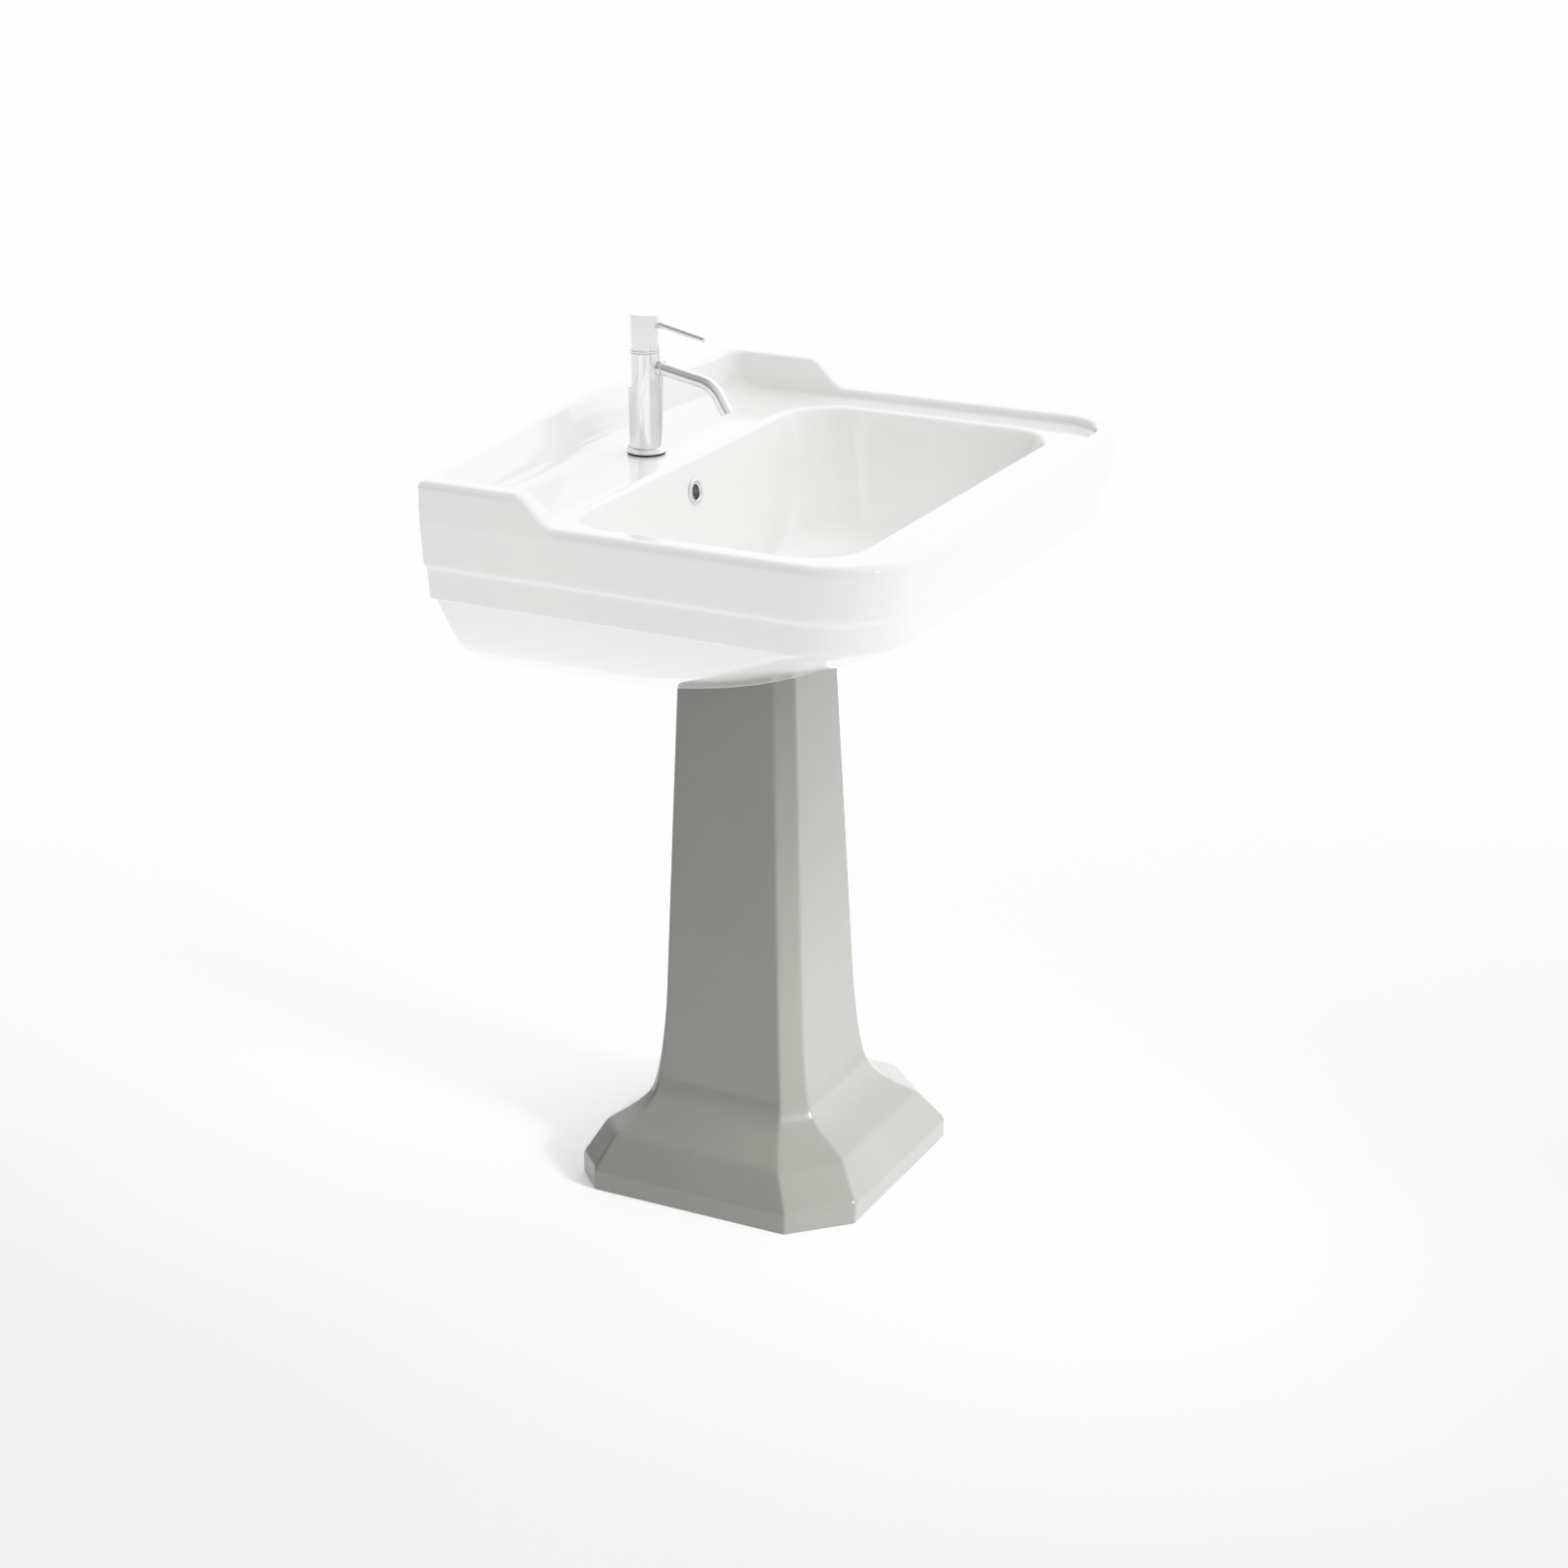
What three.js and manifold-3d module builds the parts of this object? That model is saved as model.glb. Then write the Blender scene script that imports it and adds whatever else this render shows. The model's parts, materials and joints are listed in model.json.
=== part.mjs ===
// Pedestal washbasin: an Art Deco style china basin with a raised back on a tapered
// octagonal pedestal, with a single lever tap, a push waste and a bottle trap.
// Millimetres. +X to the right of a user who faces the wall, +Y to the wall, +Z up.
// The origin is on the floor, under the centre of the basin's outline.
import * as THREE from 'three';
import { mergeVertices } from 'three/addons/utils/BufferGeometryUtils.js';
import Module from 'manifold-3d';

const wasm = await Module();
wasm.setup();

// ---------------------------------------------------------------- driving dimensions
const BASIN_WIDTH = 710;        // outline, side to side
const BASIN_DEPTH = 532;        // outline, front to wall
const RIM_Z = 850;              // top of the rim above the floor
const WING_RISE = 32;           // raised sides at the back, above the rim
const ARCH_RISE = 19;           // crown of the back above the raised sides
const DECK_DROP = 12;           // sunken deck below the rim
const LIP = 26;                 // width of the raised rim
const BELLY_DROP = 208;         // flat seat under the basin, below the rim
const CHINA = 10;               // china wall
const BOWL_HALF_X = 291;        // bowl opening
const BOWL_FRONT = 71;          // front edge of the bowl, from the basin's front
const BOWL_BACK = 130;          // back edge of the bowl, from the wall
const BOWL_DEPTH = 166;         // deck to the waste
const PED_Y = 47;               // centre of the pedestal and of the waste
const PED_BASE = 184;           // half width of the foot
const PED_TOP_HALF = 69.7;      // half width of the shaft at the top
const PED_WALL = 12;
const PAD = 3;                  // seat pads between pedestal and basin
const TAP_FROM_WALL = 76;       // tap axis
const TAP_R = 19.75;            // tap body
const TAP_HOLE_R = 17.5;
const SEAM_UP = 117.6;          // body height over its foot
const CAP_H = 40;               // handle cap
const SPOUT_R = 7.6;
const SPOUT_SLOPE = 11;         // degrees down from level
const LEVER_R = 3.4;
const LEVER_REACH = 76.7;
const LEVER_SLOPE = 12;
const TRAP_Z = 515;             // outlet pipe height
const BOLT_X = 140;             // wall fixings, half spacing
const BOLT_DROP = 50;           // below the rim
const GAP = 0.3;

const HX = BASIN_WIDTH / 2;
const WALL_Y = BASIN_DEPTH / 2;
const FRONT_Y = -BASIN_DEPTH / 2;
const DECK_Z = RIM_Z - DECK_DROP;
const WING_Z = RIM_Z + WING_RISE;
const SEAT_Z = RIM_Z - BELLY_DROP;
const PED_TOP_Z = SEAT_Z - PAD;
const FLOOR_Z = DECK_Z - BOWL_DEPTH;
const TAP_Y = WALL_Y - TAP_FROM_WALL;
const LEDGE = 12;
const LEDGE_Z = DECK_Z - LEDGE;

// ---------------------------------------------------------------- materials
function look(color, roughness, metalness) {
  return new THREE.MeshStandardMaterial({ color, roughness, metalness });
}
const WHITE_CHINA = look(0xf3f3f1, 0.08, 0);
const GREY_CHINA = look(0x8f918a, 0.1, 0);
const CHROME = look(0xd9dcde, 0.06, 1);
const BRASS = look(0xb59a5b, 0.3, 1);
const STEEL = look(0xa9abad, 0.32, 1);
const RUBBER = look(0x1d1d1e, 0.75, 0);
const WHITE_PLASTIC = look(0xe6e6e2, 0.4, 0);
const GREY_PLASTIC = look(0x9a9c9d, 0.45, 0);

// ---------------------------------------------------------------- solids
// A closed solid from a geometry: shared corners merged, slivers dropped, faces outward.
function solid(geometry) {
  const g = geometry.clone();
  g.deleteAttribute('normal');
  g.deleteAttribute('uv');
  const m = mergeVertices(g, 1e-4);
  const p = m.attributes.position;
  const src = m.index.array;
  const tri = [];
  let volume = 0;
  const a = new THREE.Vector3();
  const b = new THREE.Vector3();
  const c = new THREE.Vector3();
  for (let i = 0; i < src.length; i += 3) {
    const [u, v, w] = [src[i], src[i + 1], src[i + 2]];
    if (u === v || v === w || w === u) continue;
    tri.push(u, v, w);
    a.fromBufferAttribute(p, u);
    b.fromBufferAttribute(p, v);
    c.fromBufferAttribute(p, w);
    volume += a.dot(b.clone().cross(c));
  }
  if (volume < 0) {
    for (let i = 0; i < tri.length; i += 3) {
      [tri[i + 1], tri[i + 2]] = [tri[i + 2], tri[i + 1]];
    }
  }
  return new wasm.Manifold(new wasm.Mesh({
    numProp: 3,
    vertProperties: new Float32Array(p.array),
    triVerts: new Uint32Array(tri),
  }));
}

function toGeometry(m) {
  const mesh = m.getMesh();
  const g = new THREE.BufferGeometry();
  g.setAttribute('position', new THREE.BufferAttribute(new Float32Array(mesh.vertProperties), 3));
  g.setIndex(new THREE.BufferAttribute(new Uint32Array(mesh.triVerts), 1));
  g.computeVertexNormals();
  return g;
}

const join = (first, ...rest) => rest.reduce((m, s) => m.add(s), first);
const cut = (first, ...rest) => rest.reduce((m, s) => m.subtract(s), first);

function box(x0, x1, y0, y1, z0, z1) {
  const g = new THREE.BoxGeometry(x1 - x0, y1 - y0, z1 - z0);
  g.translate((x0 + x1) / 2, (y0 + y1) / 2, (z0 + z1) / 2);
  return solid(g);
}

// Turns local +Z to a direction and moves the local origin to a point.
function place(geometry, at, along) {
  const q = new THREE.Quaternion();
  q.setFromUnitVectors(new THREE.Vector3(0, 0, 1), new THREE.Vector3(...along).normalize());
  geometry.applyMatrix4(new THREE.Matrix4().makeRotationFromQuaternion(q));
  geometry.translate(...at);
  return geometry;
}

// A turned piece: profile of [radius, height] pairs about a line.
function turned(profile, at, along = [0, 0, 1], segments = 16, closed = true) {
  const pts = profile.map(([r, z]) => new THREE.Vector2(r, z));
  if (closed) pts.push(pts[0].clone());
  const g = new THREE.LatheGeometry(pts, segments);
  g.rotateX(Math.PI / 2);
  return solid(place(g, at, along));
}

function cylinder(r, h0, h1, at, along = [0, 0, 1], segments = 16) {
  const g = new THREE.CylinderGeometry(r, r, h1 - h0, segments);
  g.rotateX(Math.PI / 2);
  g.translate(0, 0, (h0 + h1) / 2);
  return solid(place(g, at, along));
}

function ring(rIn, rOut, h0, h1, at, along = [0, 0, 1], segments = 16) {
  return turned([[rIn, h0], [rOut, h0], [rOut, h1], [rIn, h1]], at, along, segments);
}

function hexNut(acrossFlats, rBore, h0, h1, at, along = [0, 0, 1]) {
  const body = cylinder(acrossFlats / Math.sqrt(3), h0, h1, at, along, 6);
  return cut(body, cylinder(rBore, h0 - 1, h1 + 1, at, along, 20));
}

// A lofted piece: a cylinder whose rows take the outlines given, lowest first.
function loft(rings) {
  const n = rings[0].length;
  const rows = rings.length - 1;
  const g = new THREE.CylinderGeometry(1, 1, 1, n, rows);
  const p = g.attributes.position;
  const middles = rings.map((r) => {
    const s = r.reduce((t, q) => t.add(q), new THREE.Vector3());
    return s.multiplyScalar(1 / n);
  });
  for (let i = 0; i < p.count; i += 1) {
    const row = Math.round((p.getY(i) + 0.5) * rows);
    const turn = Math.atan2(p.getX(i), p.getZ(i)) / (2 * Math.PI);
    const k = ((Math.round(turn * n) % n) + n) % n;
    const onAxis = Math.hypot(p.getX(i), p.getZ(i)) < 0.5;
    const q = onAxis ? middles[row] : rings[row][k];
    p.setXYZ(i, q.x, q.y, q.z);
  }
  return solid(g);
}

// Rounded rectangle outline at one height. The corners at the wall and at the front
// have radii of their own.
function outline(z, hx, back, front, rBack, rFront, nBack, nFront) {
  const pts = [];
  const corner = (cx, cy, r, from, n) => {
    for (let i = 0; i <= n; i += 1) {
      const a = ((from + (90 * i) / n) * Math.PI) / 180;
      pts.push(new THREE.Vector3(cx + r * Math.cos(a), cy + r * Math.sin(a), z));
    }
  };
  corner(hx - rFront, front + rFront, rFront, -90, nFront);
  corner(hx - rBack, back - rBack, rBack, 0, nBack);
  corner(-hx + rBack, back - rBack, rBack, 90, nBack);
  corner(-hx + rFront, front + rFront, rFront, 180, nFront);
  return pts;
}

// Square outline with cut corners on the pedestal's axis. The back face is drawn forward
// by draw, and its two corners have their own cut.
function octagon(z, s, c, draw, backCut) {
  const b = s - draw;
  const k = backCut;
  const xy = [[s - c, -s], [s, -s + c], [s, b - k], [s - k, b], [-s + k, b], [-s, b - k],
    [-s, -s + c], [-s + c, -s]];
  return xy.map(([x, y]) => new THREE.Vector3(x, PED_Y + y, z));
}

// A flat outline given in (first, second), extruded along the third axis.
function slab(points, from, to, axes) {
  const shape = new THREE.Shape(points.map(([u, v]) => new THREE.Vector2(u, v)));
  const g = new THREE.ExtrudeGeometry(shape, { depth: to - from, bevelEnabled: false });
  g.translate(0, 0, from);
  const e = { x: [1, 0, 0], y: [0, 1, 0], z: [0, 0, 1] };
  const [u, v, w] = axes.map((k) => new THREE.Vector3(...e[k]));
  g.applyMatrix4(new THREE.Matrix4().makeBasis(u, v, w));
  return solid(g);
}

const root = new THREE.Group();
function add(name, manifold, material) {
  const mesh = new THREE.Mesh(toGeometry(manifold), material);
  mesh.name = name;
  root.add(mesh);
}

// ---------------------------------------------------------------- basin
// Outer form: drop below the rim, inset from the side and front outline, front radius.
const OUTER = [
  [BELLY_DROP, 150, 206, 150],
  [205, 132, 190, 175],
  [195, 112, 178, 182],
  [184, 93, 162, 178],
  [170, 74, 138, 158],
  [160, 65, 120, 145],
  [149, 57, 100, 130],
  [135, 47, 70, 118],
  [121, 38, 46, 110],
  [110, 31, 31, 105],
  [103, 27, 26, 100],
  [101, 16, 15, 94],
  [97, 14.5, 13, 92],
  [65, 11, 10, 89],
  [61, 6, 5.5, 87],
  [56, 4.5, 4, 86],
  [8, 0, 0, 85],
  [-70, 0, 0, 85],
];

function outerForm() {
  return loft(OUTER.map(([drop, side, front, r]) => outline(
    RIM_Z - drop, HX - side, WALL_Y, FRONT_Y + front, 4, r, 2, 6)));
}

// Bowl: share of the depth above its bottom, inset from the bowl's edge at the side,
// the back and the front, corner radius.
const BOWL = [
  [0, 249, 47, 200, 41],
  [0.015, 191, 41, 165, 60],
  [0.042, 141, 37, 133, 70],
  [0.084, 101, 33, 103, 78],
  [0.151, 69, 29, 73, 82],
  [0.259, 48, 23, 49, 78],
  [0.53, 25, 14, 25, 70],
  [0.77, 12, 7.34, 11, 65],
  [0.95, 4, 2.34, 4, 62],
  [1, 0, 0, 0, 64],
];
const OVERFLOW_ROW = BOWL[7];

function bowlForm(wall) {
  const back = WALL_Y - BOWL_BACK;
  const front = FRONT_Y + BOWL_FRONT;
  const rows = BOWL.map(([up, side, inBack, inFront, r]) => outline(
    FLOOR_Z + up * BOWL_DEPTH - wall, BOWL_HALF_X - side + wall, back - inBack + wall,
    front + inFront - wall, r + wall, r + wall, 5, 5));
  const last = BOWL[BOWL.length - 1];
  rows.push(outline(DECK_Z + 30, BOWL_HALF_X + wall, back + wall, front - wall,
    last[4] + wall, last[4] + wall, 5, 5));
  return loft(rows);
}

// Height of the back's top edge: level at the sides, crowned in the middle.
function crown(x) {
  const half = HX - 65;
  const t = Math.min(Math.abs(x) / half, 1);
  return WING_Z + ARCH_RISE * 0.5 * (1 + Math.cos(Math.PI * t));
}

function topCuts() {
  const low = WALL_Y - 164;
  const high = WALL_Y - 116;
  const front = [[FRONT_Y - 50, RIM_Z]];
  for (let i = 0; i <= 8; i += 1) {
    const t = i / 8;
    front.push([low + (high - low) * t, RIM_Z + WING_RISE * t * t * (3 - 2 * t)]);
  }
  front.push([high, RIM_Z + 200], [FRONT_Y - 50, RIM_Z + 200]);
  const back = [];
  for (let i = 0; i <= 24; i += 1) {
    const x = -HX - 10 + ((BASIN_WIDTH + 20) * i) / 24;
    back.push([x, crown(x)]);
  }
  back.push([HX + 10, RIM_Z + 200], [-HX - 10, RIM_Z + 200]);
  return [
    slab(front, -HX - 20, HX + 20, ['y', 'z', 'x']),
    slab(back.reverse().map(([x, z]) => [z, x]), high - 0.01, WALL_Y + 20, ['z', 'x', 'y']),
  ];
}

function deckCut() {
  const inner = HX - LIP;
  const front = FRONT_Y + LIP;
  return loft([
    outline(DECK_Z, inner - 3, WALL_Y - 24, front + 3, 20, 57, 4, 6),
    outline(DECK_Z + 4, inner - 1, WALL_Y - 20, front + 1, 22, 59, 4, 6),
    outline(RIM_Z, inner, WALL_Y - 17, front, 23, 60, 4, 6),
    outline(WING_Z, inner + 1, WALL_Y - 12, front - 1, 23, 60, 4, 6),
    outline(RIM_Z + 120, inner + 1, WALL_Y - 10, front - 1, 23, 60, 4, 6),
  ]);
}

// The space between the outer skin and the bowl, open behind and below.
const SKIN = [
  [194, 139, 199, 166],
  [186, 122, 187, 173],
  [175, 103, 171, 169],
  [161, 84, 147, 149],
  [151, 75, 129, 136],
  [141, 67, 110, 121],
  [128, 57, 80, 109],
  [115, 48, 56, 101],
  [105, 42, 42, 96],
  [90, 26, 25, 84],
  [66, 23, 22, 81],
  [50, 16, 16, 77],
  [DECK_DROP + LEDGE, 13, 13, 75],
];

function hollow() {
  const skin = loft(SKIN.map(([drop, side, front, r]) => outline(
    RIM_Z - drop, HX - side, WALL_Y - CHINA, FRONT_Y + front, 6, r, 1, 4)));
  return cut(skin, bowlForm(CHINA + 1), overflowDuct());
}

const DUCT_Y = WALL_Y - 103;       // back of the overflow duct
const OVERFLOW_Z = FLOOR_Z + OVERFLOW_ROW[0] * BOWL_DEPTH;
const OVERFLOW_Y = WALL_Y - BOWL_BACK - OVERFLOW_ROW[2];
const WALL_TILT = Math.atan(11.66 / (0.42 * BOWL_DEPTH));
const OVERFLOW_OUT = [0, -Math.cos(WALL_TILT), Math.sin(WALL_TILT)];

function overflowDuct() {
  return box(-26, 26, DUCT_Y - 35, DUCT_Y, SEAT_Z, LEDGE_Z + 4);
}

function basin() {
  const back = WALL_Y + 20;
  let m = cut(outerForm(), ...topCuts(), deckCut(), hollow(), bowlForm(0));
  // overflow channel, down the duct and forward into the waste
  m = cut(m,
    box(-14, 14, DUCT_Y - 17, DUCT_Y - 9, SEAT_Z + 10, OVERFLOW_Z + 12),
    box(-12, 12, PED_Y + 15, DUCT_Y - 9, SEAT_Z + 10, SEAT_Z + 18),
    cylinder(12.9, -24, 12, [0, OVERFLOW_Y, OVERFLOW_Z], OVERFLOW_OUT));
  // waste hole and its recess, tap hole
  m = cut(m,
    cylinder(23.5, SEAT_Z - 5, FLOOR_Z + 5, [0, PED_Y, 0], [0, 0, 1], 24),
    cylinder(32.8, FLOOR_Z - 2.6, FLOOR_Z + 5, [0, PED_Y, 0], [0, 0, 1], 24),
    cylinder(TAP_HOLE_R, LEDGE_Z - 5, DECK_Z + 5, [0, TAP_Y, 0]));
  // access under the tap and at the wall, wall bolt holes
  m = cut(m,
    box(-110, 110, DUCT_Y + 8, back, SEAT_Z - 10, SEAT_Z + 40),
    box(-110, 110, WALL_Y - 18, back, SEAT_Z - 10, SEAT_Z + 128));
  for (const x of [-BOLT_X, BOLT_X]) {
    m = cut(m, cylinder(8, -20, 10, [x, WALL_Y, RIM_Z - BOLT_DROP], [0, 1, 0], 20));
  }
  return m;
}

// ---------------------------------------------------------------- pedestal
// Height, inset from the foot, front corner cut, draw of the back face, back corner cut.
// The shaft runs straight from the last flare row.
const SHAFT_FOOT = PED_BASE - 95;
const FOOT = [
  [0, 0, 60, 25, 35], [24, 0, 60, 25, 35], [28, 2, 59, 25, 34], [64, 26, 56, 20, 30],
  [76, 49, 45, 16, 24], [87, 67, 34, 12, 16], [100, 79, 27, 10, 10], [118, 85.5, 23, 8, 7],
  [145, 90, 21.5, 8, 5], [200, 95, 20.5, 8, 4],
];
const FOOT_INSIDE = [
  [14, 13, 54, 25, 28], [24, 13, 54, 25, 28], [52, 34, 50, 21, 26], [66, 62, 38, 19, 22],
  [78, 80, 28, 15, 17], [95, 92, 20, 11, 8], [120, 98, 16, 8, 4], [145, 102, 14.5, 8, 3],
  [200, 107, 13.5, 8, 3],
];

function pedestal() {
  const topCut = 18;
  const outer = loft([
    ...FOOT.map(([z, inset, ...shape]) => octagon(z, PED_BASE - inset, ...shape)),
    octagon(PED_TOP_Z, PED_TOP_HALF, topCut, 0, 4),
  ]);
  const above = 20;
  const taper = (SHAFT_FOOT - PED_TOP_HALF) / (PED_TOP_Z - 200);
  const inside = loft([
    ...FOOT_INSIDE.map(([z, inset, ...shape]) => octagon(z, PED_BASE - inset, ...shape)),
    octagon(PED_TOP_Z + above, PED_TOP_HALF - PED_WALL - taper * above, topCut - 7, 0, 3),
  ]);
  const opening = loft([-5, 30].map((z) => octagon(z, PED_BASE - 52, 40, 25, 28)));
  let m = cut(outer, inside, opening,
    box(-40, 40, PED_Y + 48, PED_Y + PED_BASE + 20, -5, PED_TOP_Z + 20));
  for (const x of [-PED_BASE + 33, PED_BASE - 33]) {
    m = cut(m, cylinder(3, -5, 20, [x, PED_Y, 0], [0, 0, 1], 16));
  }
  return m;
}

function seatPads() {
  const r = PED_TOP_HALF - PED_WALL / 2;
  const z0 = PED_TOP_Z + GAP;
  const z1 = SEAT_Z - GAP;
  add('seat_pad_front', box(-14, 14, PED_Y - r - 4.5, PED_Y - r + 4.5, z0, z1), RUBBER);
  add('seat_pad_left', box(-r - 4.5, -r + 4.5, PED_Y - 14, PED_Y + 14, z0, z1), RUBBER);
  add('seat_pad_right', box(r - 4.5, r + 4.5, PED_Y - 14, PED_Y + 14, z0, z1), RUBBER);
}

function floorFixings() {
  for (const [side, x] of [['left', -PED_BASE + 33], ['right', PED_BASE - 33]]) {
    add(`floor_washer_${side}`, ring(3.1, 8, 14 + GAP, 15.5, [x, PED_Y, 0], [0, 0, 1], 12), STEEL);
    const screw = turned([[0, 0.4], [2.6, 1.5], [2.6, 15.8], [6.4, 15.8], [6.4, 18], [4, 20.2],
      [0, 20.2]], [x, PED_Y, 0], [0, 0, 1], 12, false);
    const slot = box(x - 0.7, x + 0.7, PED_Y - 5, PED_Y + 5, 18.8, 22);
    add(`floor_screw_${side}`, cut(screw, slot), STEEL);
  }
}

// ---------------------------------------------------------------- tap
const TAP = [0, TAP_Y, 0];
const FOOT_Z = DECK_Z + 2.6;
const BODY_TOP = DECK_Z + SEAM_UP - 0.6;
const DOME_R = TAP_R + 11.05;
const DOME_UP = Math.sqrt(DOME_R * DOME_R - TAP_R * TAP_R);
const PIVOT_Z = DECK_Z + SEAM_UP + 2 - DOME_UP;   // centre of the dome and of the lift
const onBall = (radius, r) => PIVOT_Z + Math.sqrt(radius * radius - r * r);
const CAP_TOP = onBall(DOME_R, TAP_R) + CAP_H + 0.4;
const slope = (deg) => [0, -Math.cos((deg * Math.PI) / 180), -Math.sin((deg * Math.PI) / 180)];
const SPOUT_DIR = slope(SPOUT_SLOPE);
const SPOUT_Z = DECK_Z + 102.9;              // spout line, at the tap axis
const BORE_R = TAP_R - 2.75;

function tapBody() {
  const body = turned([[0, FOOT_Z], [TAP_R, FOOT_Z], [TAP_R, BODY_TOP - 0.4],
    [TAP_R - 0.4, BODY_TOP], [0, BODY_TOP]], TAP, [0, 0, 1], 24, false);
  let m = cut(body,
    cylinder(15.5, FOOT_Z + 12, PIVOT_Z - 29, TAP),
    cylinder(BORE_R, PIVOT_Z - 19, BODY_TOP + 5, TAP, [0, 0, 1], 24),
    cylinder(4.4, FOOT_Z - 5, FOOT_Z + 14, [0, TAP_Y + 11, 0], [0, 0, 1], 16),
    cylinder(SPOUT_R + GAP, TAP_R - 5.75, TAP_R + 10, [0, TAP_Y, SPOUT_Z], SPOUT_DIR, 16));
  for (const x of [-7.5, 7.5]) {
    m = cut(m,
      cylinder(5.3, FOOT_Z - 5, FOOT_Z + 14, [x, TAP_Y - 5, 0], [0, 0, 1], 16),
      cylinder(3, PIVOT_Z - 31, PIVOT_Z - 17, [x, TAP_Y - 5, 0], [0, 0, 1], 12));
  }
  return m;
}

function ballArc(radius, r0, r1, n) {
  const pts = [];
  for (let i = 0; i <= n; i += 1) {
    const r = r0 + ((r1 - r0) * i) / n;
    pts.push([r, onBall(radius, r)]);
  }
  return pts;
}

function tapDome() {
  return turned([[BORE_R, BODY_TOP + GAP], [TAP_R, BODY_TOP + GAP],
    ...ballArc(DOME_R, TAP_R, 14.5, 3), ...ballArc(DOME_R - 2.4, 14.5, BORE_R, 2)],
  TAP, [0, 0, 1], 24);
}

function cartridge() {
  const top = PIVOT_Z + 14;
  const core = BORE_R - 0.4;
  const housing = turned([[0, PIVOT_Z - 18.6], [core, PIVOT_Z - 18.6], [core, top], [11.2, top],
    [11.2, PIVOT_Z + 2], [0, PIVOT_Z + 2]], TAP, [0, 0, 1], 24, false);
  add('cartridge_housing', housing, GREY_PLASTIC);
  const rotor = cut(cylinder(10.8, PIVOT_Z + 6, top - 0.4, TAP),
    box(-3.9, 3.9, TAP_Y - 4.6, TAP_Y + 9, PIVOT_Z, top + 2));
  add('cartridge_rotor', rotor, WHITE_PLASTIC);
  const nut = cut(cylinder(core, top + GAP, top + 5.3, TAP),
    cylinder(11.3, top, top + 6, TAP),
    box(-20, 20, TAP_Y - 1.6, TAP_Y + 1.6, top + 3.3, top + 8));
  add('cartridge_nut', nut, BRASS);
}

function handle() {
  const ceiling = PIVOT_Z + DOME_R + 6.2;
  const cap = turned([[0, CAP_TOP], [TAP_R - 1, CAP_TOP], [TAP_R, CAP_TOP - 1],
    ...ballArc(DOME_R + GAP, TAP_R, TAP_R - 2.5, 2), [TAP_R - 2.5, ceiling],
    [3.8, ceiling],
    [3.8, CAP_TOP - 12], [0, CAP_TOP - 12]], TAP, [0, 0, 1], 24, false);
  const dir = slope(LEVER_SLOPE);
  const rootAt = [0, TAP_Y, CAP_TOP - 8];
  const drilled = cut(cap,
    cylinder(LEVER_R + GAP, 10, TAP_R + 10, rootAt, dir, 16),
    cylinder(2.3, 2, TAP_R + 10, [0, TAP_Y, CAP_TOP - 20], [0, 1, 0], 12));
  add('handle_cap', drilled, CHROME);
  const rod = turned([[0, 10.4], [LEVER_R, 10.4], [LEVER_R, LEVER_REACH - 0.8],
    [LEVER_R - 0.8, LEVER_REACH], [0, LEVER_REACH]], rootAt, dir, 20, false);
  add('lever_rod', rod, CHROME);
  const stem = turned([[0, PIVOT_Z + 4.5], [3.4, PIVOT_Z + 4.5], [3.4, CAP_TOP - 12.5],
    [0, CAP_TOP - 12.5]], TAP, [0, 0, 1], 16, false);
  add('lever_stem', stem, BRASS);
  const grub = cut(cylinder(2, 4, 12, [0, TAP_Y, CAP_TOP - 20], [0, 1, 0], 12),
    cylinder(0.9, 9, 14, [0, TAP_Y, CAP_TOP - 20], [0, 1, 0], 6));
  add('handle_grub_screw', grub, STEEL);
}

// Spout line: straight, one bend, straight to the mouth.
function spout() {
  const v = (y, z) => new THREE.Vector3(0, y, z);
  const dir = slope(SPOUT_SLOPE);
  const p0 = v(TAP_Y + dir[1] * (TAP_R - 0.75), SPOUT_Z + dir[2] * (TAP_R - 0.75));
  const p1 = v(TAP_Y + dir[1] * 74, SPOUT_Z + dir[2] * 74);
  const knee = v(TAP_Y + dir[1] * 87, SPOUT_Z + dir[2] * 87);
  const out = slope(60);
  const p2 = v(knee.y + out[1] * 13, knee.z + out[2] * 13);
  const p3 = v(p2.y + out[1] * 22, p2.z + out[2] * 22);
  const path = new THREE.CurvePath();
  path.add(new THREE.LineCurve3(p0, p1));
  path.add(new THREE.QuadraticBezierCurve3(p1, knee, p2));
  path.add(new THREE.LineCurve3(p2, p3));
  const section = new THREE.Shape();
  section.absarc(0, 0, SPOUT_R, 0, Math.PI * 2, false);
  const bore = new THREE.Path();
  bore.absarc(0, 0, SPOUT_R - 1.5, 0, Math.PI * 2, true);
  section.holes.push(bore);
  const g = new THREE.ExtrudeGeometry(section, {
    steps: 13, curveSegments: 7, bevelEnabled: false, extrudePath: path,
  });
  add('spout_tube', solid(g), CHROME);
  const collar = cut(ring(SPOUT_R + GAP, 9.6, TAP_R - 3.75, TAP_R + 3.25, [0, TAP_Y, SPOUT_Z], dir),
    cylinder(TAP_R + GAP, FOOT_Z, BODY_TOP + 40, TAP, [0, 0, 1], 24));
  add('spout_collar', collar, CHROME);
  let jet = cylinder(SPOUT_R - 1.8, 1, 12, p3.toArray(), [0, -out[1], -out[2]], 20);
  for (let i = 0; i < 5; i += 1) {
    const a = (i * Math.PI) / 2;
    const r = i === 4 ? 0 : 3.2;
    const side = [0, -out[2], out[1]];
    const at = [r * Math.cos(a), p3.y + side[1] * r * Math.sin(a), p3.z + side[2] * r * Math.sin(a)];
    jet = cut(jet, cylinder(0.9, 0, 13, at, [0, -out[1], -out[2]], 6));
  }
  add('aerator_insert', jet, WHITE_PLASTIC);
}

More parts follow.
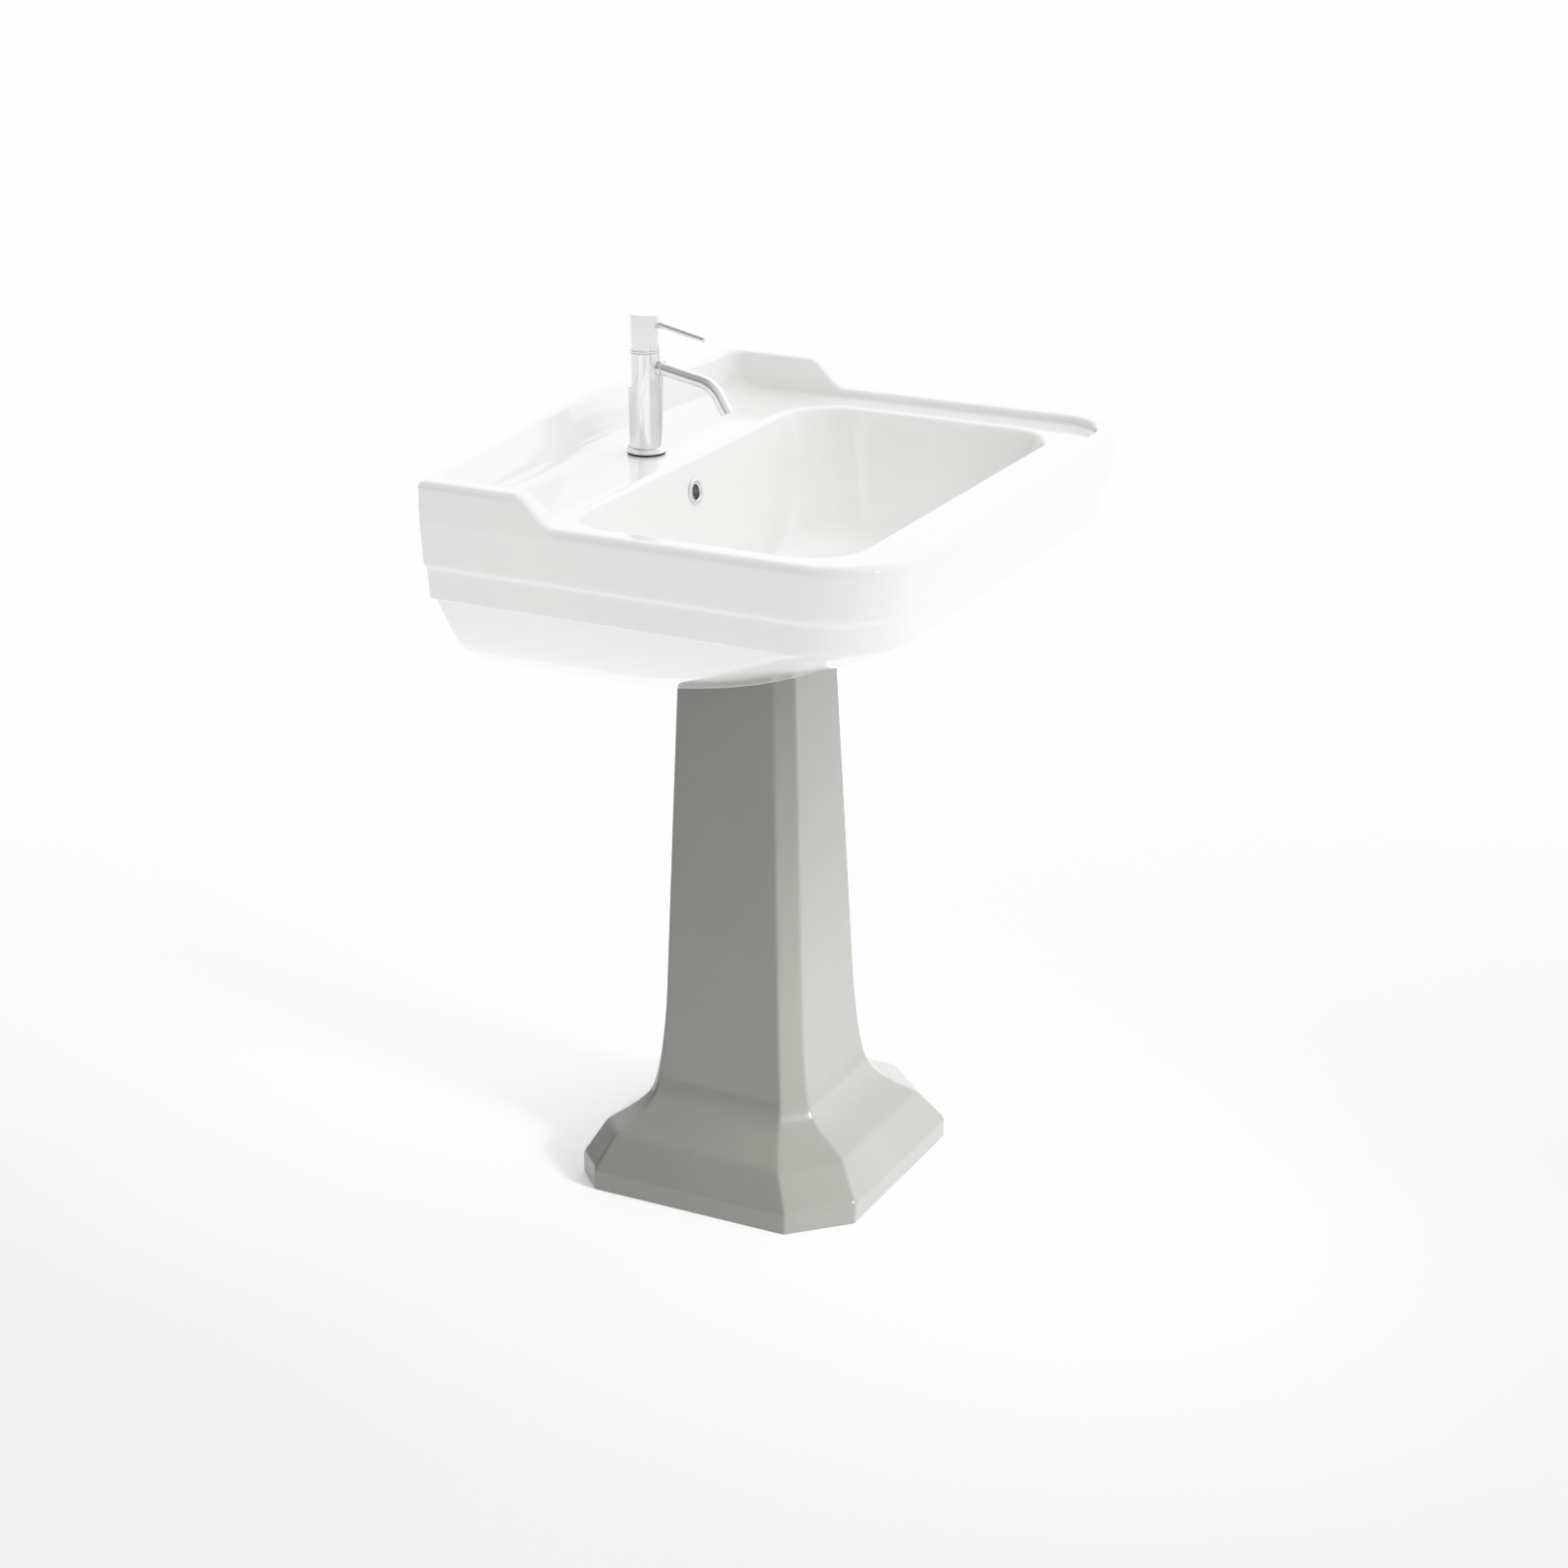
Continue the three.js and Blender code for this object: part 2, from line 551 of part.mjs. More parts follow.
// Horseshoe outline that clears the water inlets and grips round the tap hole.
function horseshoe(rOut, z0, z1) {
  const plate = cut(cylinder(rOut, z0, z1, TAP, [0, 0, 1], 20),
    box(-14.5, 14.5, TAP_Y - 40, TAP_Y + 3.5, z0 - 1, z1 + 1),
    cylinder(4.5, z0 - 1, z1 + 1, [0, TAP_Y + 11, 0], [0, 0, 1], 16));
  return plate;
}

function tapFixing() {
  const up = [0, 0, 1];
  const gasket = ring(TAP_R - 1.75, TAP_R + 1.75, DECK_Z + GAP, FOOT_Z - GAP, TAP, up, 24);
  add('tap_foot_gasket', gasket, RUBBER);
  const collar = turned([[TAP_R + GAP, FOOT_Z], [TAP_R + 2.25, FOOT_Z], [TAP_R + 2.25, FOOT_Z + 5.6],
    [TAP_R + 1.45, FOOT_Z + 6.4], [TAP_R + GAP, FOOT_Z + 6.4]], TAP, up, 24);
  add('tap_foot_ring', collar, CHROME);
  add('tap_clamp_gasket', horseshoe(24, LEDGE_Z - 3.3, LEDGE_Z - GAP), RUBBER);
  add('tap_clamp_plate', horseshoe(23.5, LEDGE_Z - 5.6, LEDGE_Z - 3.6), STEEL);
  const at = [0, TAP_Y + 11, 0];
  const stud = turned([[0, LEDGE_Z - 60], [3, LEDGE_Z - 60], [4, LEDGE_Z - 59],
    [4, FOOT_Z + 11], [0, FOOT_Z + 11]], at, [0, 0, 1], 16, false);
  add('tap_stud', stud, STEEL);
  add('tap_stud_nut', hexNut(13, 4.3, LEDGE_Z - 17, LEDGE_Z - 5.9, at), BRASS);
  for (const [name, x] of [['inlet_tail_hot', -7.5], ['inlet_tail_cold', 7.5]]) {
    const p = [x, TAP_Y - 5, 0];
    const tail = turned([[3.2, LEDGE_Z - 62], [5, LEDGE_Z - 62], [5, FOOT_Z + 20],
      [3.2, FOOT_Z + 20]], p, [0, 0, 1], 16);
    add(name, tail, BRASS);
  }
}

// ---------------------------------------------------------------- waste and trap
const WASTE = [0, PED_Y, 0];
function waste() {
  const f = FLOOR_Z;
  const s = SEAT_Z;
  add('overflow_ring', turned([[8.5, -9], [12.5, -9], [12.5, 0.3], [14.6, 0.3], [14.6, 1.6],
    [13.4, 2.5], [9.6, 2.5], [8.5, 1.4]], [0, OVERFLOW_Y, OVERFLOW_Z], OVERFLOW_OUT), CHROME);
  add('waste_seal', ring(23.4, 31, f - 2.3, f - 1.1, WASTE, [0, 0, 1], 20), RUBBER);
  const body = turned([[17, s - 40], [17, f - 5], [22.8, f - 5], [22.8, f + 1.2], [31.6, f + 0.6],
    [32.2, f - 0.8], [22.9, f - 0.8], [22.9, s - 12], [21.4, s - 12.5], [21.4, s - 48],
    [16.4, s - 48], [16.4, s - 40]], WASTE, [0, 0, 1], 20);
  const slots = cut(body, box(-30, 30, PED_Y - 5, PED_Y + 5, s + 9, s + 19),
    box(-5, 5, PED_Y - 30, PED_Y + 30, s + 9, s + 19));
  add('waste_body', slots, CHROME);
  add('waste_under_gasket', ring(23.3, 31, s - 4, s - GAP, WASTE, [0, 0, 1], 20), RUBBER);
  const nut = cut(cylinder(31, s - 11.6, s - 4.3, WASTE, [0, 0, 1], 12),
    cylinder(23.3, s - 13, s, WASTE, [0, 0, 1], 20));
  add('waste_locknut', nut, BRASS);
  const guide = cut(cylinder(16.7, s - 8, s - 2, WASTE),
    cylinder(3.8, s - 10, s + 2, WASTE, [0, 0, 1], 16),
    box(-20, -4.9, PED_Y + 3, PED_Y + 20, s - 10, s),
    box(4.9, 20, PED_Y + 3, PED_Y + 20, s - 10, s),
    box(-20, -4.9, PED_Y - 20, PED_Y - 3, s - 10, s),
    box(4.9, 20, PED_Y - 20, PED_Y - 3, s - 10, s));
  add('waste_guide', guide, GREY_PLASTIC);
  add('plug_seal', ring(18.6, 21.8, f - 4.7, f - 3.2, WASTE), RUBBER);
  const plug = turned([[0, s - 22], [2.6, s - 22], [3.4, s - 21], [3.4, f - 4], [18.2, f - 4],
    [18.2, f - 2.9], [22.3, f - 2.9], [22.3, f + 1.6], [20, f + 3.4], [12, f + 4.4],
    [0, f + 4.8]], WASTE, [0, 0, 1], 20, false);
  add('waste_plug', plug, CHROME);
}

function trap() {
  const s = SEAT_Z;
  const t = TRAP_Z;
  add('trap_inlet_pipe', ring(14.5, 16, t - 33, s - 40.4, WASTE), CHROME);
  add('trap_inlet_nut', turned([[19.8, t + 33], [23, t + 33], [23, t + 47], [22, t + 48],
    [16.4, t + 48], [16.4, t + 45.6], [19.8, t + 45.6]], WASTE, [0, 0, 1], 20), CHROME);
  const shell = turned([[16.4, t + 45], [16.4, t + 29], [28, t + 18], [28, t - 47], [30, t - 47],
    [30, t + 19], [19.5, t + 30.5], [19.5, t + 45]], WASTE, [0, 0, 1], 20);
  const stub = cylinder(19.5, 26, 46, [0, PED_Y, t], [0, 1, 0]);
  const bore = cylinder(16.4, 20, 60, [0, PED_Y, t], [0, 1, 0]);
  const room = cylinder(28, t - 46, t + 17.9, WASTE, [0, 0, 1], 20);
  add('trap_body', cut(join(shell, cut(stub, room)), bore), CHROME);
  add('trap_cup', turned([[0, t - 72], [22, t - 72], [28, t - 68], [30, t - 62], [32.8, t - 61],
    [32.8, t - 40], [30.4, t - 40], [30.4, t - 47.3], [27, t - 47.3], [27, t - 60],
    [20, t - 69], [0, t - 69]], WASTE, [0, 0, 1], 20, false), CHROME);
  const at = [0, PED_Y, t];
  add('trap_outlet_nut', turned([[19.8, 34], [23, 34], [23, 49], [22, 50], [16.4, 50], [16.4, 47.9],
    [19.8, 47.9]], at, [0, 1, 0], 20), CHROME);
  add('trap_outlet_seal', ring(16.7, 19.2, 46.3, 47.6, at, [0, 1, 0]), RUBBER);
}

function wallFixings() {
  const z = RIM_Z - BOLT_DROP;
  const y = [0, 1, 0];
  const inner = -CHINA;            // inside of the back skin, from the wall
  for (const [side, x] of [['left', -BOLT_X], ['right', BOLT_X]]) {
    const at = [x, WALL_Y, z];
    add(`wall_sleeve_${side}`, turned([[4.8, inner - 3.3], [13, inner - 3.3], [13, inner - GAP],
      [7.7, inner - GAP], [7.7, -GAP], [4.8, -GAP]], at, y, 14), WHITE_PLASTIC);
    add(`wall_washer_${side}`, ring(4.8, 12, inner - 5.2, inner - 3.6, at, y, 14), STEEL);
    add(`wall_nut_${side}`, hexNut(17, 4.8, inner - 13, inner - 5.5, at, y), STEEL);
    add(`wall_bolt_${side}`, turned([[0, inner - 20], [3.6, inner - 20], [4.5, inner - 19],
      [4.5, -GAP], [0, -GAP]], at, y, 12, false), STEEL);
  }
}

// ---------------------------------------------------------------- assembly
add('basin', basin(), WHITE_CHINA);
add('pedestal', pedestal(), GREY_CHINA);
seatPads();
floorFixings();
add('tap_body', tapBody(), CHROME);
add('tap_dome', tapDome(), CHROME);
cartridge();
handle();
spout();
tapFixing();
waste();
trap();
wallFixings();

export default root;
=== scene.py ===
"""Pedestal washbasin: the looks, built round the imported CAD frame.

Every shape is worked out in millimetres, in the frame's axes, and goes into Blender in
metres. +X is to the right of a user who faces the wall, +Y is to the wall, +Z is up.
"""
import json
import math

import bmesh
import bpy
import numpy as np
from mathutils import Matrix, Vector


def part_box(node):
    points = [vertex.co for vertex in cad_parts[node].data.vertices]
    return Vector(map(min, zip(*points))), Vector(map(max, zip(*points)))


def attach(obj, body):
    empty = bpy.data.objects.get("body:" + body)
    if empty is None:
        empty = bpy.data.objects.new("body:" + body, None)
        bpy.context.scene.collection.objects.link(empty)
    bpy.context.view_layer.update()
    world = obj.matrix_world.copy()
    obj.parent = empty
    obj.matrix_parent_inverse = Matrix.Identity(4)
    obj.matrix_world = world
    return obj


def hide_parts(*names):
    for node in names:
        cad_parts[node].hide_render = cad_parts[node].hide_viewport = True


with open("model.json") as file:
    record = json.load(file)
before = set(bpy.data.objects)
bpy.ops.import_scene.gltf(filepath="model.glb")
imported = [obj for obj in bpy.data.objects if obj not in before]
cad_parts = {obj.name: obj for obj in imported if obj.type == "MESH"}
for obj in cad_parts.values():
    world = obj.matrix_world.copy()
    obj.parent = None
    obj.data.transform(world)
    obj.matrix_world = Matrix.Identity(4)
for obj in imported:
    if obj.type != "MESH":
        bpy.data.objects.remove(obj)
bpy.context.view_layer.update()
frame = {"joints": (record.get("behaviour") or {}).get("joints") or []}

MM = 0.001
UP = (0, 0, 1)
TO_WALL = (0, 1, 0)


# ------------------------------------------------------------------ sizes from the frame
def span(node):
    """Lowest and highest corner of a CAD node, in millimetres."""
    low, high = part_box(node)
    return [v / MM for v in low], [v / MM for v in high]


basin_low, basin_high = span("basin")
HX, WALL_Y, FRONT_Y = basin_high[0], basin_high[1], basin_low[1]
SEAT_Z = basin_low[2]
WING_RISE, ARCH_RISE = 32, 19                # raised back above the rim, crown above that
RIM_Z = basin_high[2] - WING_RISE - ARCH_RISE
DECK_Z = RIM_Z - 12                          # sunken deck inside the rim
LEDGE_Z = DECK_Z - 12                        # underside of the china at the tap
CHINA = 10

ped_low, ped_high = span("pedestal")
PED_HALF = ped_high[0]
PED_Y = ped_low[1] + PED_HALF
PED_TOP_Z = ped_high[2]
PED_TOP_HALF, PED_WALL = 69.7, 12

FLOOR_Z = span("waste_body")[1][2] - 1.2     # bottom of the bowl
TRAP_Z = span("trap_body")[0][2] + 47        # height of the trap's outlet

tap_low, tap_high = span("tap_body")
TAP_R = tap_high[0]
TAP_Y = (tap_low[1] + tap_high[1]) / 2
FOOT_Z, BODY_TOP = tap_low[2], tap_high[2]
CAP_TOP = span("handle_cap")[1][2]
PIVOT_Z = next(j for j in frame["joints"] if j["name"] == "handle_lift")["pos_m"][2] / MM
DOME_R = TAP_R + 11.05
BORE_R = TAP_R - 2.75
SPOUT_Z, SPOUT_R = DECK_Z + 102.9, 7.6
LEVER_R, LEVER_REACH = 3.4, 76.7
BOLT_X = (span("wall_bolt_right")[0][0] + span("wall_bolt_right")[1][0]) / 2
BOLT_Z = (span("wall_bolt_right")[0][2] + span("wall_bolt_right")[1][2]) / 2
SCREW_X = PED_HALF - 33


# ------------------------------------------------------------------ materials
def node_material(name, slot_values, build):
    """A Principled material: constants on its sockets, and build() adds the nodes."""
    m = bpy.data.materials.new(name)
    m.use_nodes = True
    tree = m.node_tree
    shader = tree.nodes["Principled BSDF"]
    for socket, value in slot_values.items():
        shader.inputs[socket].default_value = value
    place = tree.nodes.new("ShaderNodeTexCoord").outputs["Object"]
    build(tree, shader, place)
    return m


def noise(tree, place, scale, detail=3, rough=0.5, stretch=None):
    if stretch:
        mapping = tree.nodes.new("ShaderNodeMapping")
        mapping.inputs["Scale"].default_value = stretch
        tree.links.new(place, mapping.inputs["Vector"])
        place = mapping.outputs["Vector"]
    n = tree.nodes.new("ShaderNodeTexNoise")
    n.inputs["Scale"].default_value = scale
    n.inputs["Detail"].default_value = detail
    n.inputs["Roughness"].default_value = rough
    tree.links.new(place, n.inputs["Vector"])
    return n.outputs["Fac"]


def spread(tree, value, low, high, out_low, out_high):
    """Maps a value's range onto another, held at its ends."""
    n = tree.nodes.new("ShaderNodeMapRange")
    for socket, number in (("From Min", low), ("From Max", high), ("To Min", out_low),
                           ("To Max", out_high)):
        n.inputs[socket].default_value = number
    tree.links.new(value, n.inputs["Value"])
    return n.outputs["Result"]


def blend_colour(tree, fac, a, b):
    n = tree.nodes.new("ShaderNodeMix")
    n.data_type = "RGBA"
    tree.links.new(fac, n.inputs["Factor"])
    for socket, value in ((n.inputs[6], a), (n.inputs[7], b)):
        if isinstance(value, tuple):
            socket.default_value = (*value, 1)
        else:
            tree.links.new(value, socket)
    return n.outputs[2]


def bump(tree, shader, layers):
    """Stacked bumps: (height output, depth in metres)."""
    normal = None
    for height, depth in layers:
        n = tree.nodes.new("ShaderNodeBump")
        n.inputs["Strength"].default_value = 1
        n.inputs["Distance"].default_value = depth
        tree.links.new(height, n.inputs["Height"])
        if normal:
            tree.links.new(normal, n.inputs["Normal"])
        normal = n.outputs["Normal"]
    tree.links.new(normal, shader.inputs["Normal"])
    return normal


def specks(tree, place, scale, size):
    """1 on small round dots, 0 between them, thinned out by a slow noise."""
    v = tree.nodes.new("ShaderNodeTexVoronoi")
    v.inputs["Scale"].default_value = scale
    tree.links.new(place, v.inputs["Vector"])
    dots = spread(tree, v.outputs["Distance"], size * 0.6, size, 1, 0)
    patches = spread(tree, noise(tree, place, scale * 0.35), 0.6, 0.66, 0, 1)
    product = tree.nodes.new("ShaderNodeMath")
    product.operation = "MULTIPLY"
    tree.links.new(dots, product.inputs[0])
    tree.links.new(patches, product.inputs[1])
    return product.outputs[0]


def glaze(name, colour, pooled, speck, coat, matt):
    """Fired glaze: slow colour drift, pinhole specks, a faint orange-peel skin."""
    def build(tree, shader, place):
        drift = spread(tree, noise(tree, place, 5, 4), 0.3, 0.7, 0, 1)
        body = blend_colour(tree, drift, colour, pooled)
        body = blend_colour(tree, specks(tree, place, 55, 0.05), body, speck)
        tree.links.new(body, shader.inputs["Base Color"])
        gloss = spread(tree, noise(tree, place, 18, 5), 0.25, 0.75, matt, matt * 1.8)
        tree.links.new(gloss, shader.inputs["Roughness"])
        normal = bump(tree, shader, [(noise(tree, place, 22, 2), 0.00013),
                                     (noise(tree, place, 240, 2), 0.000012)])
        tree.links.new(normal, shader.inputs["Coat Normal"])
    return node_material(name, {"Coat Weight": coat, "Coat Roughness": 0.03, "IOR": 1.52}, build)


def bisque(name, colour, stain):
    """Fired clay with no glaze: matt, with grog grains and kiln-wash stains."""
    def build(tree, shader, place):
        body = blend_colour(tree, spread(tree, noise(tree, place, 14, 6, 0.65), 0.35, 0.7, 0, 1),
                            colour, stain)
        body = blend_colour(tree, specks(tree, place, 300, 0.16), body,
                            tuple(c * 0.62 for c in stain))
        tree.links.new(body, shader.inputs["Base Color"])
        tree.links.new(spread(tree, noise(tree, place, 90, 4), 0.3, 0.7, 0.72, 0.92),
                       shader.inputs["Roughness"])
        bump(tree, shader, [(noise(tree, place, 420, 5, 0.7), 0.0002),
                            (noise(tree, place, 60, 3), 0.0003)])
    return node_material(name, {"Specular IOR Level": 0.3}, build)


def polished(name, colour, shade, rough, brushed=None, extra=None):
    """Plated or bare metal: tone drift, smears in the gloss and fine wipe marks."""
    def build(tree, shader, place):
        body = blend_colour(tree, spread(tree, noise(tree, place, 30, 4), 0.3, 0.7, 0, 1),
                            colour, shade)
        body = blend_colour(tree, specks(tree, place, 260, 0.14), body,
                            tuple(c * 0.82 for c in shade))
        tree.links.new(body, shader.inputs["Base Color"])
        smear = spread(tree, noise(tree, place, 45, 6, 0.65), 0.35, 0.75, rough, rough * 2.2)
        tree.links.new(smear, shader.inputs["Roughness"])
        hair = noise(tree, place, 500, 2, 0.5, brushed or (1, 1, 0.06))
        bump(tree, shader, [(hair, 0.000012 if brushed else 0.0000015),
                            (noise(tree, place, 35, 2), 0.00002)])
    return node_material(name, {"Metallic": 1, **(extra or {})}, build)


def moulded(name, colour, shade, rough, grain=0.00004):
    """Moulded rubber or plastic: fine spark-eroded grain, dust in the tone."""
    def build(tree, shader, place):
        body = blend_colour(tree, spread(tree, noise(tree, place, 60, 5, 0.6), 0.35, 0.7, 0, 1),
                            colour, shade)
        tree.links.new(body, shader.inputs["Base Color"])
        tree.links.new(spread(tree, noise(tree, place, 160, 4), 0.3, 0.7, rough,
                              min(rough * 1.35, 0.95)), shader.inputs["Roughness"])
        bump(tree, shader, [(noise(tree, place, 1400, 2), grain),
                            (noise(tree, place, 90, 2), grain * 1.5)])
    return node_material(name, {"IOR": 1.49}, build)


LOOKS = {
    "white_china": glaze("white_glaze", (0.925, 0.925, 0.91), (0.90, 0.903, 0.89),
                         (0.70, 0.67, 0.61), 0.7, 0.09),
    "grey_china": glaze("grey_glaze", (0.192, 0.196, 0.178), (0.176, 0.181, 0.163),
                        (0.10, 0.10, 0.09), 0.3, 0.12),
    "chrome": polished("chrome_plate", (0.80, 0.81, 0.82), (0.74, 0.75, 0.76), 0.035),
    "brass": polished("turned_brass", (0.62, 0.46, 0.19), (0.48, 0.34, 0.13), 0.2, (1, 1, 0.2)),
    "steel": polished("zinc_steel", (0.52, 0.53, 0.54), (0.40, 0.41, 0.42), 0.22, (1, 1, 0.3)),
    "rubber": moulded("black_rubber", (0.018, 0.018, 0.019), (0.04, 0.04, 0.04), 0.62),
    "white_plastic": moulded("white_nylon", (0.74, 0.74, 0.71), (0.66, 0.66, 0.62), 0.36),
    "grey_plastic": moulded("grey_acetal", (0.30, 0.31, 0.315), (0.24, 0.25, 0.255), 0.4),
}
WHITE_CLAY = bisque("white_bisque", (0.72, 0.68, 0.60), (0.60, 0.55, 0.46))
GREY_CLAY = bisque("grey_bisque", (0.50, 0.47, 0.41), (0.40, 0.37, 0.31))


# ------------------------------------------------------------------ mesh tools
def new_object(name, points, faces):
    """A closed mesh from points in millimetres, facing outward."""
    me = bpy.data.meshes.new(name)
    me.from_pydata((np.asarray(points, float) * MM).tolist(), [], faces)
    bm = bmesh.new()
    bm.from_mesh(me)
    bmesh.ops.remove_doubles(bm, verts=bm.verts, dist=1e-7)
    bmesh.ops.recalc_face_normals(bm, faces=bm.faces)
    if bm.calc_volume(signed=True) < 0:
        bmesh.ops.reverse_faces(bm, faces=bm.faces)
    bm.to_mesh(me)
    bm.free()
    o = bpy.data.objects.new(name, me)
    bpy.context.scene.collection.objects.link(o)
    return o


def loft(name, rings, hoop=False):
    """Quads between rings of equal length. The ends are capped, or joined to each other."""
    n = len(rings[0])
    count = len(rings)
    base = np.arange(n)
    after = (base + 1) % n
    faces = []
    for i in range(count if hoop else count - 1):
        a, b = i * n, ((i + 1) % count) * n
        faces += np.stack([a + base, a + after, b + after, b + base], 1).tolist()
    if not hoop:
        faces += [base.tolist(), (base + (count - 1) * n).tolist()]
    return new_object(name, np.vstack(rings), faces)


def eased(rows, steps=6):
    """Rounds a table's corners. A row is (reach, height, half width, ...): within reach of
    a row the line between rows turns along a parabola, never past half way to the next."""
    pts = [np.array(r[1:], float) for r in rows]
    out = [pts[0]]
    for i in range(1, len(rows) - 1):
        before, here, after = pts[i - 1], pts[i], pts[i + 1]
        near = [np.linalg.norm((q - here)[:4]) or 1 for q in (before, after)]
        share = [min(rows[i][0] / d, 0.5) for d in near]
        start = here + (before - here) * share[0]
        end = here + (after - here) * share[1]
        for k in range(steps + 1):
            t = k / steps
            out.append((1 - t) ** 2 * start + 2 * t * (1 - t) * here + t * t * end)
    out.append(pts[-1])
    kept = [out[0]]
    for q in out[1:]:
        if np.linalg.norm(q - kept[-1]) > 1e-6:
            kept.append(q)
    return kept


CORNER, SIDE, ALONG = 22, 90, 110            # steps in a corner, a side edge, a long edge


def outline(z, hx, back, front, r_back, r_front):
    """Rounded rectangle. z is one height, or a height for each (x, y)."""
    x, y = [], []
    corners = [(hx - r_front, front + r_front, r_front, -90),
               (hx - r_back, back - r_back, r_back, 0), (r_back - hx, back - r_back, r_back, 90),
               (r_front - hx, front + r_front, r_front, 180)]
    for k, (cx, cy, r, start) in enumerate(corners):
        a = np.radians(start + 90 * np.arange(CORNER + 1) / CORNER)
        x.append(cx + r * np.cos(a))
        y.append(cy + r * np.sin(a))
        nx, ny, nr, begin = corners[(k + 1) % 4]
        b = math.radians(begin)
        t = np.arange(1, SIDE if k % 2 == 0 else ALONG) / (SIDE if k % 2 == 0 else ALONG)
        x.append(x[-1][-1] + (nx + nr * math.cos(b) - x[-1][-1]) * t)
        y.append(y[-1][-1] + (ny + nr * math.sin(b) - y[-1][-1]) * t)
    x, y = np.concatenate(x), np.concatenate(y)
    height = z(x, y) if callable(z) else np.full(len(x), float(z))
    return np.stack([x, y, height], 1)


def rounded_line(points, soft, closed, steps=3):
    """Rounds the corners of a turned piece's profile, to soft mm or less."""
    pts = [np.array(p, float) for p in points]
    n = len(pts)
    out = []
    for i, here in enumerate(pts):
        if not closed and i in (0, n - 1):
            out.append(here)
            continue
        before, after = pts[i - 1], pts[(i + 1) % n]
        u, v = before - here, after - here
        lu, lv = np.linalg.norm(u), np.linalg.norm(v)
        turn = math.degrees(math.acos(max(-1, min(1, -(u @ v) / (lu * lv)))))
        if turn < 14:
            out.append(here)
            continue
        reach = min(soft, 0.42 * lu, 0.42 * lv)
        start, end = here + u / lu * reach, here + v / lv * reach
        out += [(1 - t) ** 2 * start + 2 * t * (1 - t) * here + t * t * end
                for t in np.linspace(0, 1, steps + 1)]
    return out


def direction(along):
    return Vector((0, 0, 1)).rotation_difference(Vector(along).normalized()).to_matrix()


def turned(name, profile, at=(0, 0, 0), along=UP, soft=0.45, segments=72):
    """A piece turned about a line. The profile is (radius, height) pairs: closed where it
    stays off the line, open where it begins and ends on it."""
    closed = profile[0][0] > 1e-6
    line = rounded_line(profile, soft, closed)
    a = np.linspace(0, 2 * math.pi, segments, endpoint=False)
    circle = np.stack([np.cos(a), np.sin(a)], 1)
    m = np.array(direction(along))
    rings = [np.column_stack([circle * max(r, 0), np.full(segments, z)]) for r, z in line]
    if closed:
        o = loft(name, [r @ m.T + np.array(at, float) for r in rings], hoop=True)
    else:
        tips = [np.array([[0, 0, line[0][1]]]), np.array([[0, 0, line[-1][1]]])]
        body = rings[1:-1]
        points = np.vstack(body + tips) @ m.T + np.array(at, float)
        n, count = segments, len(body)
        base = np.arange(n)
        after = (base + 1) % n
        faces = []
        for i in range(count - 1):
            faces += np.stack([i * n + base, i * n + after, (i + 1) * n + after,
                               (i + 1) * n + base], 1).tolist()
        first, last = count * n, count * n + 1
        faces += [[first, int(p), int(q)] for p, q in zip(base, after)]
        end = (count - 1) * n
        faces += [[last, end + int(p), end + int(q)] for p, q in zip(base, after)]
        o = new_object(name, points, faces)
    return o


def rod(r, h0, h1, at=(0, 0, 0), along=UP, segments=64):
    """A plain cylinder, to cut with."""
    a = np.linspace(0, 2 * math.pi, segments, endpoint=False)
    m = np.array(direction(along))
    rings = [np.column_stack([r * np.cos(a), r * np.sin(a),
                              np.full(segments, h)]) @ m.T + np.array(at, float)
             for h in (h0, h1)]
    return loft("cutter", rings)


def block(x0, x1, y0, y1, z0, z1, soft=0, name="cutter"):
    """A box with its edges rounded by soft mm."""
    pts = [(x, y, z) for z in (z0, z1) for x, y in ((x0, y0), (x1, y0), (x1, y1), (x0, y1))]
    faces = [[0, 1, 2, 3], [4, 5, 6, 7], [0, 1, 5, 4], [1, 2, 6, 5], [2, 3, 7, 6], [3, 0, 4, 7]]
    o = new_object(name, pts, faces)
    if soft:
        bm = bmesh.new()
        bm.from_mesh(o.data)
        bmesh.ops.bevel(bm, geom=bm.edges[:], offset=soft * MM, segments=4, profile=0.5,
                        affect="EDGES")
        bm.to_mesh(o.data)
        bm.free()
    return o


def boolean(o, others, operation):
    for other in others:
        m = o.modifiers.new("b", "BOOLEAN")
        m.operation, m.object, m.solver = operation, other, "MANIFOLD"
    graph = bpy.context.evaluated_depsgraph_get()
    shape = bpy.data.meshes.new_from_object(o.evaluated_get(graph))
    o.modifiers.clear()
    o.data = shape
    for other in others:
        bpy.data.objects.remove(other)
    return o


def cut(o, *others):
    return boolean(o, others, "DIFFERENCE")


def join(o, *others):
    return boolean(o, others, "UNION")


def keep(o, *others):
    return boolean(o, others, "INTERSECT")


def dress(o, nodes, slot, body="sink", sharp=32, look=None):
    """Finish, smoothing, body and slot of one piece that stands for CAD nodes."""
    nodes = [nodes] if isinstance(nodes, str) else nodes
    o.name = nodes[0] + "_piece"
    o.data.name = o.name
    o.data.materials.clear()
    o.data.materials.append(look or LOOKS[slot])
    o.data.shade_smooth()
    o.data.set_sharp_from_angle(angle=math.radians(sharp))
    weighted = o.modifiers.new("weighted_normals", "WEIGHTED_NORMAL")
    weighted.keep_sharp = True
    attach(o, body)
    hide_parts(*nodes)
    return o


# ------------------------------------------------------------------ basin
SMOOTH = 999


